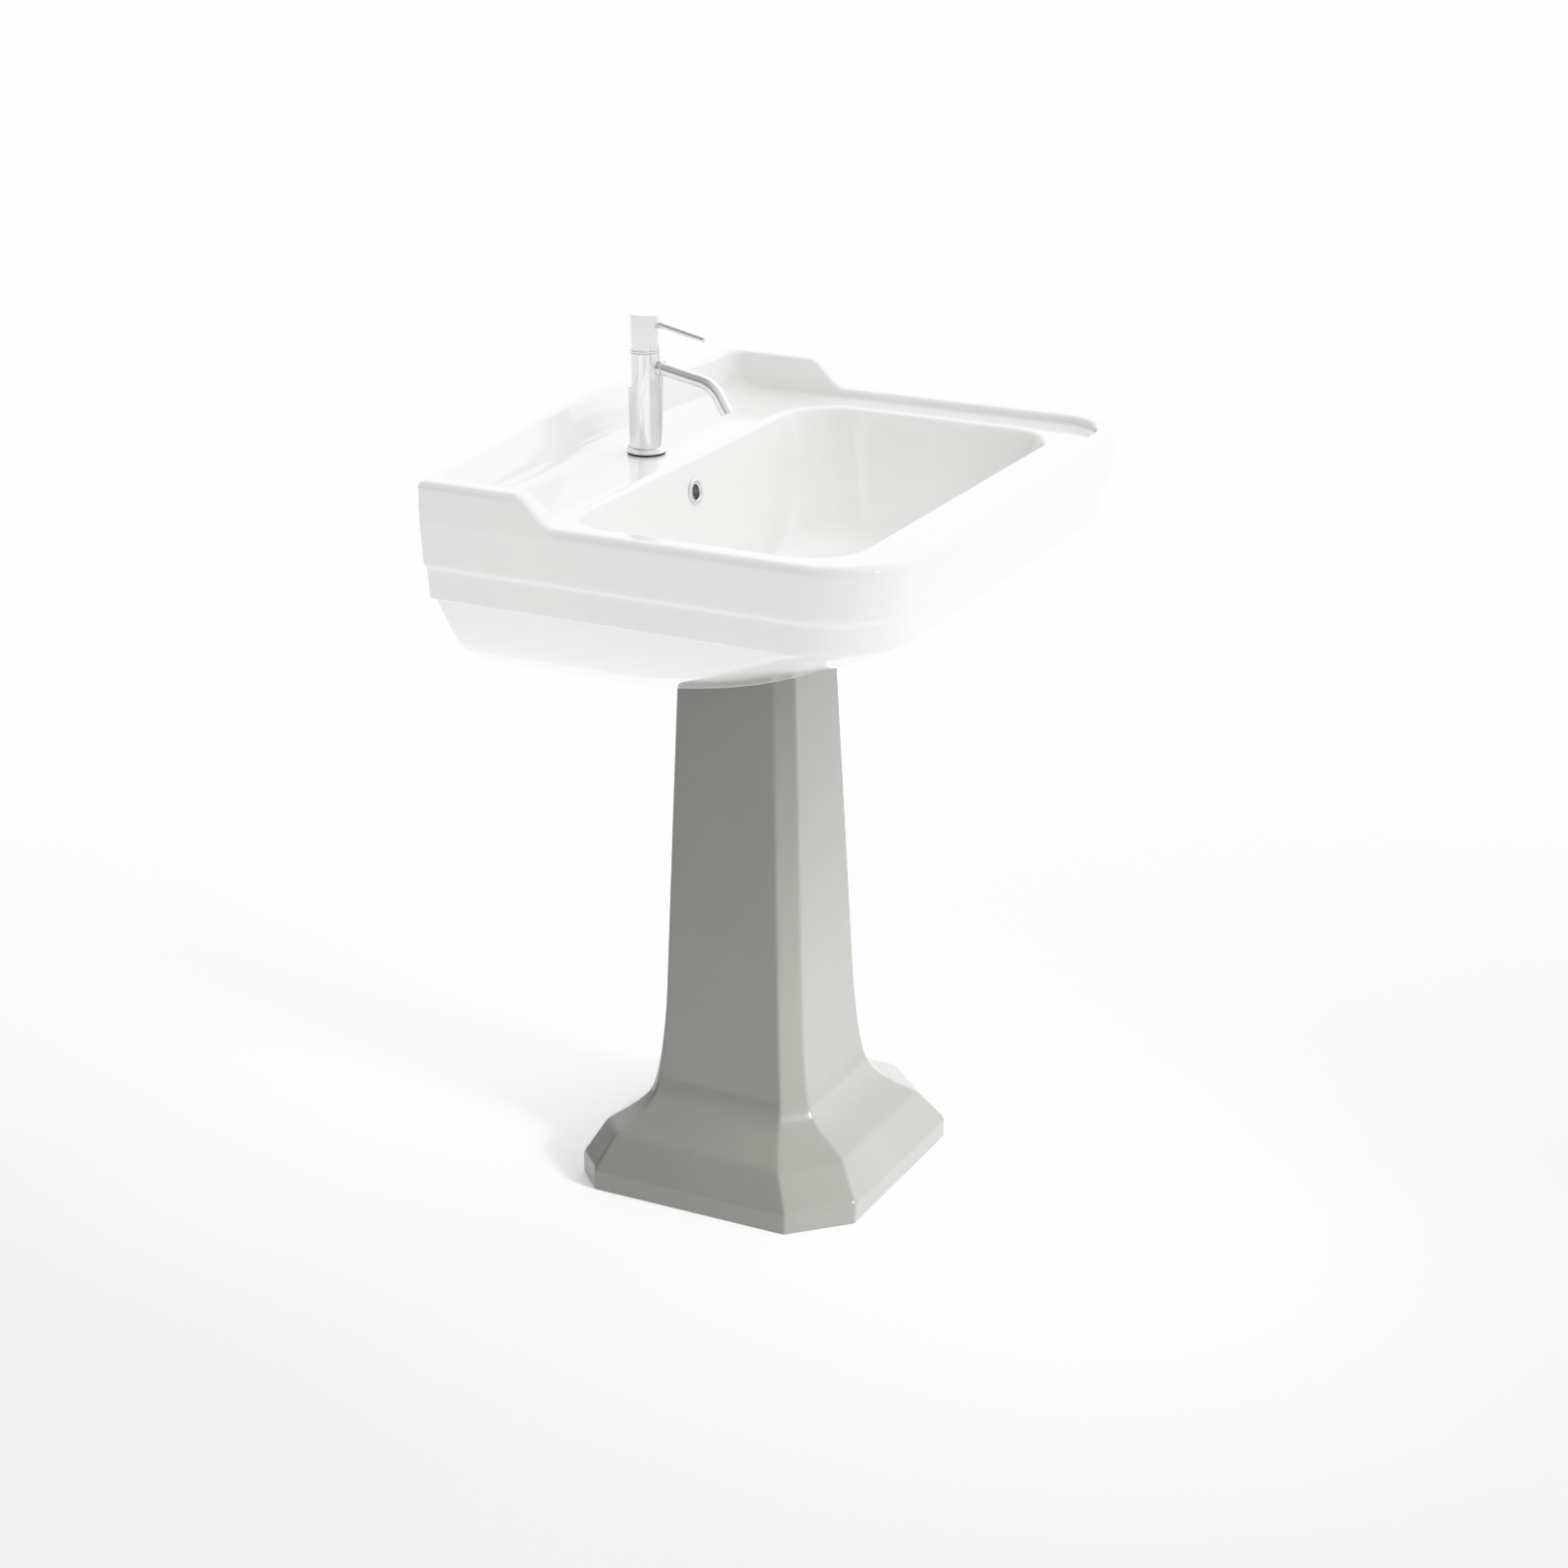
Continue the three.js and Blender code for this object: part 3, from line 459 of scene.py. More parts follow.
def top_edge(x, y):
    """Height of the rim: level in front, swept up at the sides, crowned at the back."""
    t = np.clip((y - (WALL_Y - 164)) / 48, 0, 1)
    arch = 0.5 * (1 + np.cos(math.pi * np.minimum(np.abs(x) / (HX - 65), 1)))
    return RIM_Z + t * t * (3 - 2 * t) * (WING_RISE + ARCH_RISE * arch)


# reach, drop below the rim, inset at the side, inset at the front, front radius
OUTER = [
    (0, 208, 156, 212, 150), (2, 208, 149, 206, 152), (SMOOTH, 205, 132, 190, 175),
    (SMOOTH, 195, 112, 178, 182), (SMOOTH, 184, 93, 162, 178), (SMOOTH, 170, 74, 138, 158),
    (SMOOTH, 160, 65, 120, 145), (SMOOTH, 149, 57, 100, 130), (SMOOTH, 135, 47, 70, 118),
    (SMOOTH, 121, 38, 46, 110), (5, 110, 31, 31, 105), (3.4, 102, 26.5, 25.5, 100),
    (3.4, 100.5, 15.6, 14.6, 94), (3, 97, 14.5, 13, 92), (6, 66, 11, 10, 89),
    (3.4, 61, 6, 5.5, 87), (3, 56, 4.5, 4, 86), (3, 12, 0, 0, 85), (0, 10, 0, 0, 85),
]
# reach, share of the depth, inset from the bowl's edge at side, back and front, radius
BOWL = [
    (0, 1, -30, -30, -14, 72), (9, 1, 0, 0, 0, 64), (SMOOTH, 0.94, 4, 2.34, 4, 62),
    (SMOOTH, 0.77, 12, 7.34, 11, 65), (SMOOTH, 0.53, 25, 14, 25, 70),
    (SMOOTH, 0.259, 48, 23, 49, 78), (SMOOTH, 0.151, 69, 29, 73, 82),
    (SMOOTH, 0.084, 101, 33, 103, 78), (SMOOTH, 0.042, 141, 37, 133, 70),
    (SMOOTH, 0.015, 191, 41, 165, 60), (0, 0, 249, 47, 200, 41),
]
BOWL_HALF_X, BOWL_FRONT, BOWL_BACK = 291, FRONT_Y + 71, WALL_Y - 130
WALL_RUN, WALL_FALL_SHARE = 11.66, 0.42      # slope of the bowl's back wall at the overflow
LIP, EDGE_OUT, EDGE_IN = 26, 9, 6            # width of the rim, roundings of its two edges


def bowl_rings(rows, wall=0.0):
    """The bowl's rings, or those of a shape larger than it by wall mm."""
    return [outline(FLOOR_Z + up * (DECK_Z - FLOOR_Z) - wall, BOWL_HALF_X - side + wall,
                    BOWL_BACK - in_back + wall, BOWL_FRONT + in_front - wall, r + wall, r + wall)
            for up, side, in_back, in_front, r in rows]


def basin_rings():
    rings = [outline(RIM_Z - drop, HX - side, WALL_Y, FRONT_Y + front, 4, r)
             for drop, side, front, r in eased(OUTER)]

    def rim_ring(z, side, back, front, r_back):
        rings.append(outline(z, HX - side, WALL_Y - back, FRONT_Y + front, r_back, 85 - front))

    def between(low, high, t):
        return lambda x, y: low(x, y) + (high(x, y) - low(x, y)) * t

    wall_foot = lambda x, y: RIM_Z - 10 + 0 * x
    wall_head = lambda x, y: top_edge(x, y) - EDGE_OUT
    for t in (0.25, 0.5, 0.75, 1):
        rim_ring(between(wall_foot, wall_head, t), 0, 0, 0, 4)
    for a in np.radians(np.linspace(0, 90, 9))[1:]:
        inset = 1 - math.cos(a)
        rim_ring(lambda x, y, a=a: top_edge(x, y) - EDGE_OUT * (1 - math.sin(a)), EDGE_OUT * inset,
                 3 * inset, EDGE_OUT * inset, 4)
    for t in (0.33, 0.67, 1):
        rim_ring(top_edge, EDGE_OUT + (LIP - EDGE_IN - EDGE_OUT) * t, 3 + 3 * t,
                 EDGE_OUT + (LIP - EDGE_IN - EDGE_OUT) * t, 4 + 14 * t)
    for a in np.radians(np.linspace(0, 90, 8))[1:]:
        side = LIP - EDGE_IN * (1 - math.sin(a))
        rim_ring(lambda x, y, a=a: top_edge(x, y) - EDGE_IN * (1 - math.cos(a)), side,
                 6 + 6 * math.sin(a), side, 18 + 2 * math.sin(a))
    # inner face of the rim, then the cove at its foot, deeper along the back
    cove = lambda x, y: 6 + 9 * np.clip((y - (WALL_Y - 160)) / 110, 0, 1)
    inner_head = lambda x, y: top_edge(x, y) - EDGE_IN
    inner_foot = lambda x, y: DECK_Z + cove(x, y)
    for t in (0.2, 0.4, 0.6, 0.8, 1):
        rim_ring(between(inner_head, inner_foot, t), LIP, 12 + 7 * t, LIP, 20 + 2 * t)
    for a in np.radians(np.linspace(0, 90, 8))[1:]:
        inset = 1 - math.cos(a)
        rim_ring(lambda x, y, a=a: DECK_Z + cove(x, y) * (1 - math.sin(a)), LIP + 7 * inset,
                 19 + 14 * inset, LIP + 7 * inset, 22 + 6 * inset)
    return rings


def basin():
    rings = basin_rings()
    bowl = bowl_rings(eased(BOWL, 8)[1:])
    deck_from, deck_to = rings[-1], bowl[0]
    for t in (0.2, 0.4, 0.6, 0.8):
        rings.append(deck_from + (deck_to - deck_from) * t)
    o = loft("basin_shape", rings + bowl)

    # space between the skin and the bowl, with a solid rib that carries the overflow
    skin = [(0, 194, 139, 199, 166), (4, 186, 122, 187, 173), (SMOOTH, 175, 103, 171, 169),
            (SMOOTH, 161, 84, 147, 149), (SMOOTH, 151, 75, 129, 136), (SMOOTH, 141, 67, 110, 121),
            (SMOOTH, 128, 57, 80, 109), (8, 115, 48, 56, 101), (8, 105, 42, 42, 96),
            (8, 90, 26, 25, 84), (8, 66, 23, 22, 81), (6, 50, 16, 16, 77),
            (0, RIM_Z - LEDGE_Z, 13, 13, 75)]
    hollow = loft("hollow", [outline(RIM_Z - drop, HX - side, WALL_Y - CHINA, FRONT_Y + front, 6,
                                     r) for drop, side, front, r in eased(skin, 3)])
    thick = bowl_rings([r for r in eased(BOWL, 4) if r[1] >= 0], CHINA + 1)
    lid = thick[0].copy()
    lid[:, 2] = DECK_Z + 30
    duct_back = WALL_Y - 103
    cut(hollow, loft("bowl_wall", [lid] + thick),
        block(-26, 26, duct_back - 35, duct_back, SEAT_Z - 1, LEDGE_Z + 4, 4))

    # the overflow is on the fourth row of the bowl, square to the back wall's slope there
    share, in_back = BOWL[3][1], BOWL[3][3]
    overflow_z = FLOOR_Z + share * (DECK_Z - FLOOR_Z)
    overflow = [0, BOWL_BACK - in_back, overflow_z]
    tilt = math.atan(WALL_RUN / (WALL_FALL_SHARE * (DECK_Z - FLOOR_Z)))
    out = (0, -math.cos(tilt), math.sin(tilt))
    cut(o, hollow, block(-14, 14, duct_back - 17, duct_back - 9, SEAT_Z + 10, overflow_z + 12, 2),
        block(-12, 12, PED_Y + 15, duct_back - 9, SEAT_Z + 10, SEAT_Z + 18, 2),
        rod(12.9, -24, 12, overflow, out), rod(23.5, SEAT_Z - 5, FLOOR_Z + 5, (0, PED_Y, 0)),
        rod(32.8, FLOOR_Z - 2.6, FLOOR_Z + 5, (0, PED_Y, 0)),
        rod(17.5, LEDGE_Z - 5, DECK_Z + 5, (0, TAP_Y, 0)),
        block(-110, 110, duct_back + 8, WALL_Y + 20, SEAT_Z - 10, SEAT_Z + 40, 5),
        block(-110, 110, WALL_Y - 18, WALL_Y + 20, SEAT_Z - 10, SEAT_Z + 128, 8),
        *[rod(8, -20, 10, (x, WALL_Y, BOLT_Z), TO_WALL) for x in (-BOLT_X, BOLT_X)])
    dress(o, "basin", "white_china")
    o.data.materials.append(WHITE_CLAY)
    for p in o.data.polygons:
        on_wall = p.center.y > (WALL_Y - 0.4) * MM
        on_seat = p.center.z < (SEAT_Z + 0.3) * MM
        p.material_index = 1 if on_wall or on_seat else 0
    return overflow, out


# ------------------------------------------------------------------ pedestal
EDGE, FACE_LONG, FACE_SHORT = 4, 10, 5       # steps in a rounding, a face, a cut corner
ROUND_SHARE = 0.414                          # reach of a rounding of radius 1 at a 45 degree turn


def octagon(z, s, c, draw, back_cut, r=5):
    """Square with cut corners, each of the eight edges rounded. The back face is drawn
    forward, and its corners have their own cut."""
    b, k = s - draw, back_cut
    corner = [(s - c, -s), (s, -s + c), (s, b - k), (s - k, b), (k - s, b), (-s, b - k),
              (-s, c - s), (c - s, -s)]
    pts = []
    for i, (x, y) in enumerate(corner):
        here = np.array([x, y])
        before, after = np.array(corner[i - 1]), np.array(corner[(i + 1) % 8])
        reach = [min(r * ROUND_SHARE / np.linalg.norm(q - here), 0.4) for q in (before, after)]
        start, end = here + (before - here) * reach[0], here + (after - here) * reach[1]
        for t in np.linspace(0, 1, EDGE + 1):
            pts.append((1 - t) ** 2 * start + 2 * t * (1 - t) * here + t * t * end)
        stop = after + (here - after) * min(r * ROUND_SHARE / np.linalg.norm(after - here), 0.4)
        n = FACE_SHORT if i % 2 == 0 else FACE_LONG
        pts += [end + (stop - end) * k / n for k in range(1, n)]
    pts = np.array(pts)
    return np.column_stack([pts[:, 0], pts[:, 1] + PED_Y, np.full(len(pts), float(z))])


# reach, height, inset from the foot, front corner cut, draw of the back face, back corner cut
FOOT = [
    (0, 0, 8, 57, 25, 33), (2.5, 0, 0, 60, 25, 35), (4, 25.5, 0, 60, 25, 35),
    (6, 64, 26, 56, 20, 30), (SMOOTH, 76, 49, 45, 16, 24), (SMOOTH, 87, 67, 34, 12, 16),
    (SMOOTH, 100, 79, 27, 10, 10), (SMOOTH, 118, 85.5, 23, 8, 7),
    (SMOOTH, 145, 90, 21.5, 8, 5), (30, 200, 95, 20.5, 8, 4),
]
FOOT_INSIDE = [
    (0, 14, 13, 54, 25, 28), (2, 24, 13, 54, 25, 28), (10, 52, 34, 50, 21, 26),
    (SMOOTH, 66, 62, 38, 19, 22), (SMOOTH, 78, 80, 28, 15, 17), (SMOOTH, 95, 92, 20, 11, 8),
    (SMOOTH, 120, 98, 16, 8, 4), (SMOOTH, 145, 102, 14.5, 8, 3), (30, 200, 107, 13.5, 8, 3),
]


def pedestal():
    top_inset = PED_HALF - PED_TOP_HALF
    lip_top, lip_width = PED_TOP_Z + 2.6, 1.2    # hides the seat pads, clear of the basin
    rows = FOOT + [(0.5, lip_top, top_inset, 18, 0, 4),
                   (0.3, lip_top, top_inset + lip_width, 17.5, 0, 4),
                   (0.3, PED_TOP_Z, top_inset + lip_width, 17.5, 0, 4),
                   (0, PED_TOP_Z, top_inset + 6, 16, 0, 4)]
    o = loft("pedestal_shape", [octagon(z, PED_HALF - inset, *shape, 7)
                                for z, inset, *shape in eased(rows)])
    inner = FOOT_INSIDE + [(0, PED_TOP_Z + 20, top_inset + PED_WALL + 0.9, 11, 0, 3)]
    cut(o, loft("inside", [octagon(z, PED_HALF - inset, *shape, 5)
                           for z, inset, *shape in eased(inner, 4)]),
        loft("foot_opening", [octagon(z, PED_HALF - 52, 40, 25, 28, 8) for z in (-5, 30)]),
        block(-40, 40, PED_Y + 48, PED_Y + PED_HALF + 20, -5, PED_TOP_Z + 20),
        *[rod(3, -5, 20, (x, PED_Y, 0), segments=32) for x in (-SCREW_X, SCREW_X)])
    dress(o, "pedestal", "grey_china")
    o.data.materials.append(GREY_CLAY)
    for p in o.data.polygons:
        bare = p.center.z < 0.5 * MM or p.center.z > (PED_TOP_Z - 0.3) * MM
        p.material_index = 1 if bare else 0


def pads_and_screws():
    r = PED_TOP_HALF - PED_WALL / 2
    z0, z1 = span("seat_pad_front")[0][2], span("seat_pad_front")[1][2]
    for side, (x, y), (w, d) in (("front", (0, PED_Y - r), (14, 4.5)),
                                 ("left", (-r, PED_Y), (4.5, 14)),
                                 ("right", (r, PED_Y), (4.5, 14))):
        dress(block(x - w, x + w, y - d, y + d, z0, z1, 0.7), f"seat_pad_{side}", "rubber")
    for side, x in (("left", -SCREW_X), ("right", SCREW_X)):
        at = (x, PED_Y, 0)
        dress(turned("washer", [(3.1, 14.3), (8, 14.3), (8, 15.5), (3.1, 15.5)], at, soft=0.35),
              f"floor_washer_{side}", "steel")
        thread = [(2.6 if k % 2 else 2.15, 1.6 + 0.55 * k) for k in range(25)]
        screw = turned("screw", [(0, 0.4), *thread, (2.6, 15.8), (6.4, 15.8), (6.4, 18),
                                 (5.6, 19.2), (4, 20.0), (0, 20.2)], at, soft=0.3)
        dress(cut(screw, block(x - 0.7, x + 0.7, PED_Y - 8, PED_Y + 8, 18.8, 22)),
              f"floor_screw_{side}", "steel")


# ------------------------------------------------------------------ tap
TAP = (0, TAP_Y, 0)
GAP = 0.3


def slope(degrees):
    a = math.radians(degrees)
    return (0, -math.cos(a), -math.sin(a))


def on_ball(radius, r):
    return PIVOT_Z + math.sqrt(radius * radius - r * r)


def ball_arc(radius, r0, r1, n=10):
    return [(r, on_ball(radius, r)) for r in np.linspace(r0, r1, n + 1)]


SPOUT_DIR, LEVER_DIR, MOUTH_DIR = slope(11), slope(12), slope(60)


def tap_body():
    body = turned("body", [(0, FOOT_Z), (TAP_R, FOOT_Z), (TAP_R, BODY_TOP), (0, BODY_TOP)], TAP,
                  soft=0.5, segments=96)
    holes = [rod(15.5, FOOT_Z + 12, PIVOT_Z - 29, TAP),
             rod(BORE_R, PIVOT_Z - 19, BODY_TOP + 5, TAP),
             rod(4.4, FOOT_Z - 5, FOOT_Z + 14, (0, TAP_Y + 11, 0), segments=32),
             rod(SPOUT_R + GAP, TAP_R - 5.75, TAP_R + 10, (0, TAP_Y, SPOUT_Z), SPOUT_DIR, 48)]
    for x in (-7.5, 7.5):
        holes += [rod(5.3, FOOT_Z - 5, FOOT_Z + 14, (x, TAP_Y - 5, 0), segments=32),
                  rod(3, PIVOT_Z - 31, PIVOT_Z - 17, (x, TAP_Y - 5, 0), segments=32)]
    dress(cut(body, *holes), "tap_body", "chrome")
    dome = turned("dome", [(BORE_R, BODY_TOP + GAP), (TAP_R, BODY_TOP + GAP),
                           *ball_arc(DOME_R, TAP_R, 14.5, 6),
                           *ball_arc(DOME_R - 2.4, 14.5, BORE_R, 4)], TAP, soft=0.3, segments=96)
    dress(dome, "tap_dome", "chrome")
    foot = turned("foot_ring", [(TAP_R + GAP, FOOT_Z), (TAP_R + 2.25, FOOT_Z),
                                (TAP_R + 2.25, FOOT_Z + 5.6), (TAP_R + 1.45, FOOT_Z + 6.4),
                                (TAP_R + GAP, FOOT_Z + 6.4)], TAP, soft=0.5, segments=96)
    dress(foot, "tap_foot_ring", "chrome")
    gasket = turned("gasket", [(TAP_R - 1.75, DECK_Z + GAP), (TAP_R + 1.75, DECK_Z + GAP),
                               (TAP_R + 1.75, FOOT_Z - GAP), (TAP_R - 1.75, FOOT_Z - GAP)], TAP,
                    soft=0.5)
    dress(gasket, "tap_foot_gasket", "rubber")


def cartridge():
    top, core = PIVOT_Z + 14, BORE_R - 0.4
    housing = turned("housing", [(0, PIVOT_Z - 18.6), (core, PIVOT_Z - 18.6), (core, top),
                                 (11.2, top), (11.2, PIVOT_Z + 2), (0, PIVOT_Z + 2)], TAP)
    dress(housing, "cartridge_housing", "grey_plastic")
    rotor = cut(turned("rotor", [(0, PIVOT_Z + 6), (10.8, PIVOT_Z + 6), (10.8, top - 0.4),
                                 (0, top - 0.4)], TAP),
                block(-3.9, 3.9, TAP_Y - 4.6, TAP_Y + 9, PIVOT_Z, top + 2))
    dress(rotor, "cartridge_rotor", "white_plastic", "rotor")
    nut = cut(turned("nut", [(11.3, top + GAP), (core, top + GAP), (core, top + 5.3),
                             (11.3, top + 5.3)], TAP),
              block(-20, 20, TAP_Y - 1.6, TAP_Y + 1.6, top + 3.3, top + 8))
    dress(nut, "cartridge_nut", "brass")


def handle():
    ceiling = PIVOT_Z + DOME_R + 6.2
    cap = turned("cap", [(0, CAP_TOP), (TAP_R, CAP_TOP),
                         *ball_arc(DOME_R + GAP, TAP_R, TAP_R - 2.5, 3), (TAP_R - 2.5, ceiling),
                         (3.8, ceiling), (3.8, CAP_TOP - 12), (0, CAP_TOP - 12)], TAP, soft=0.9,
                 segments=96)
    root = (0, TAP_Y, CAP_TOP - 8)
    cut(cap, rod(LEVER_R + GAP, 10, TAP_R + 10, root, LEVER_DIR, 48),
        rod(2.3, 2, TAP_R + 10, (0, TAP_Y, CAP_TOP - 20), TO_WALL, 32))
    dress(cap, "handle_cap", "chrome", "handle")
    lever = turned("lever", [(0, 10.4), (LEVER_R, 10.4), (LEVER_R, LEVER_REACH), (0, LEVER_REACH)],
                   root, LEVER_DIR, soft=0.8, segments=48)
    dress(lever, "lever_rod", "chrome", "handle")
    stem = turned("stem", [(0, PIVOT_Z + 4.5), (3.4, PIVOT_Z + 4.5), (3.4, CAP_TOP - 12.5),
                           (0, CAP_TOP - 12.5)], TAP)
    dress(stem, "lever_stem", "brass", "handle")
    grub = cut(rod(2, 4, 12, (0, TAP_Y, CAP_TOP - 20), TO_WALL, 32),
               rod(0.9, 9, 14, (0, TAP_Y, CAP_TOP - 20), TO_WALL, 6))
    dress(grub, "handle_grub_screw", "steel", "handle")


def spout():
    """A bent tube: straight out of the body, one knee, straight to the mouth."""
    axis = np.array([0, TAP_Y, SPOUT_Z])
    d, m = np.array(SPOUT_DIR), np.array(MOUTH_DIR)
    start, bend_in, knee = axis + d * (TAP_R - 0.75), axis + d * 72, axis + d * 87
    bend_out, mouth = knee + m * 15, knee + m * 35
    path = [start + (bend_in - start) * t for t in np.linspace(0, 1, 8)[:-1]]
    path += [(1 - t) ** 2 * bend_in + 2 * t * (1 - t) * knee + t * t * bend_out
             for t in np.linspace(0, 1, 25)]
    path += [bend_out + (mouth - bend_out) * t for t in np.linspace(0, 1, 5)[1:]]
    path = np.array(path)
    ahead = np.gradient(path, axis=0)
    ahead /= np.linalg.norm(ahead, axis=1)[:, None]
    side = np.array([1.0, 0, 0])
    a = np.linspace(0, 2 * math.pi, 48, endpoint=False)

    def hoop(p, f, r):
        up = np.cross(side, f)
        return p + np.outer(np.cos(a) * r, side) + np.outer(np.sin(a) * r, up)

    inside, soft = SPOUT_R - 1.5, 0.5
    rings = [hoop(p, f, SPOUT_R) for p, f in zip(path[:-1], ahead[:-1])]
    end, f = path[-1], ahead[-1]
    for t in np.linspace(0, math.pi / 2, 4):
        rings.append(hoop(end - f * soft * (1 - math.sin(t)), f,
                          SPOUT_R - soft * (1 - math.cos(t))))
    for t in np.linspace(0, math.pi / 2, 4):
        rings.append(hoop(end - f * soft * (1 - math.cos(t)), f, inside + soft * (1 - math.sin(t))))
    rings += [hoop(p, g, inside) for p, g in zip(path[-2::-1], ahead[-2::-1])]
    dress(loft("spout", rings, hoop=True), "spout_tube", "chrome")

    collar = turned("collar", [(SPOUT_R + GAP, TAP_R - 3.75), (9.6, TAP_R - 3.75),
                               (9.6, TAP_R + 2.6), (9.0, TAP_R + 3.25),
                               (SPOUT_R + GAP, TAP_R + 3.25)], tuple(axis), SPOUT_DIR, soft=0.4)
    dress(cut(collar, rod(TAP_R + GAP, FOOT_Z, BODY_TOP + 40, TAP, segments=96)), "spout_collar",
          "chrome")
    back = tuple(-m)
    jet = turned("jet", [(0, 1), (SPOUT_R - 1.8, 1), (SPOUT_R - 1.8, 12), (0, 12)], tuple(mouth),
                 back, soft=0.3)
    across = np.array([0, -m[2], m[1]])
    holes = [rod(0.8, 0, 13, tuple(mouth), back, 16)]
    for count, r in ((6, 2.2), (12, 4.3)):
        for k in range(count):
            turn = 2 * math.pi * k / count
            at = mouth + side * r * math.cos(turn) + across * r * math.sin(turn)
            holes.append(rod(0.6, 0, 13, tuple(at), back, 12))
    dress(cut(jet, *holes), "aerator_insert", "white_plastic")


def thread_line(r, depth, z0, z1, pitch):
    """Profile points of a cut thread from z0 to z1."""
    n = max(2, int(abs(z1 - z0) / pitch))
    step = (z1 - z0) / n
    pts = []
    for k in range(n):
        pts += [(r - depth, z0 + step * k), (r, z0 + step * (k + 0.5))]
    return pts + [(r - depth, z1)]


def hex_nut(name, flats, bore, h0, h1, at, along=UP):
    """Hexagon with its corners turned off at both ends and a chamfered bore."""
    r, edge = flats / math.sqrt(3), 0.12 * (h1 - h0)
    nut = rod(r, h0, h1, at, along, 6)
    cone = turned("cone", [(0, h0), (flats / 2 * 0.97, h0), (r * 1.02, h0 + edge * 1.6),
                           (r * 1.02, h1 - edge * 1.6), (flats / 2 * 0.97, h1), (0, h1)], at,
                  along, soft=0.01)
    hole = turned("hole", [(0, h0 - 1), (bore + 1.6, h0 - 1), (bore, h0 + 0.6), (bore, h1 - 0.6),
                           (bore + 1.6, h1 + 1), (0, h1 + 1)], at, along, soft=0.01)
    nut = cut(keep(nut, cone), hole)
    nut.name = name
    return nut


def horseshoe(r, z0, z1):
    plate = turned("plate", [(0, z0), (r, z0), (r, z1), (0, z1)], TAP, soft=0.35)
    return cut(plate, block(-14.5, 14.5, TAP_Y - 40, TAP_Y + 3.5, z0 - 1, z1 + 1),
               rod(4.5, z0 - 1, z1 + 1, (0, TAP_Y + 11, 0)))


def tap_fixing():
    dress(horseshoe(24, LEDGE_Z - 3.3, LEDGE_Z - GAP), "tap_clamp_gasket", "rubber")
    dress(horseshoe(23.5, LEDGE_Z - 5.6, LEDGE_Z - 3.6), "tap_clamp_plate", "steel")
    at = (0, TAP_Y + 11, 0)
    stud = turned("stud", [(0, LEDGE_Z - 60), (3, LEDGE_Z - 60),
                           *thread_line(4, 0.4, LEDGE_Z - 59, LEDGE_Z - 2, 1.25), (4, LEDGE_Z),
                           (4, FOOT_Z + 11), (0, FOOT_Z + 11)], at, soft=0.12, segments=40)
    dress(stud, "tap_stud", "steel")
    dress(hex_nut("nut", 13, 4.3, LEDGE_Z - 17, LEDGE_Z - 5.9, at), "tap_stud_nut", "brass")
    for name, x in (("inlet_tail_hot", -7.5), ("inlet_tail_cold", 7.5)):
        z0, z1 = LEDGE_Z - 62, FOOT_Z + 20
        tail = turned("tail", [(3.2, z0), (4.7, z0), *thread_line(5, 0.35, z0 + 0.5, z0 + 10, 1.0),
                               (5, z0 + 11.5), (5, z1), (3.2, z1)], (x, TAP_Y - 5, 0), soft=0.12,
                      segments=48)
        dress(tail, name, "brass")


# ------------------------------------------------------------------ waste and trap
WASTE = (0, PED_Y, 0)


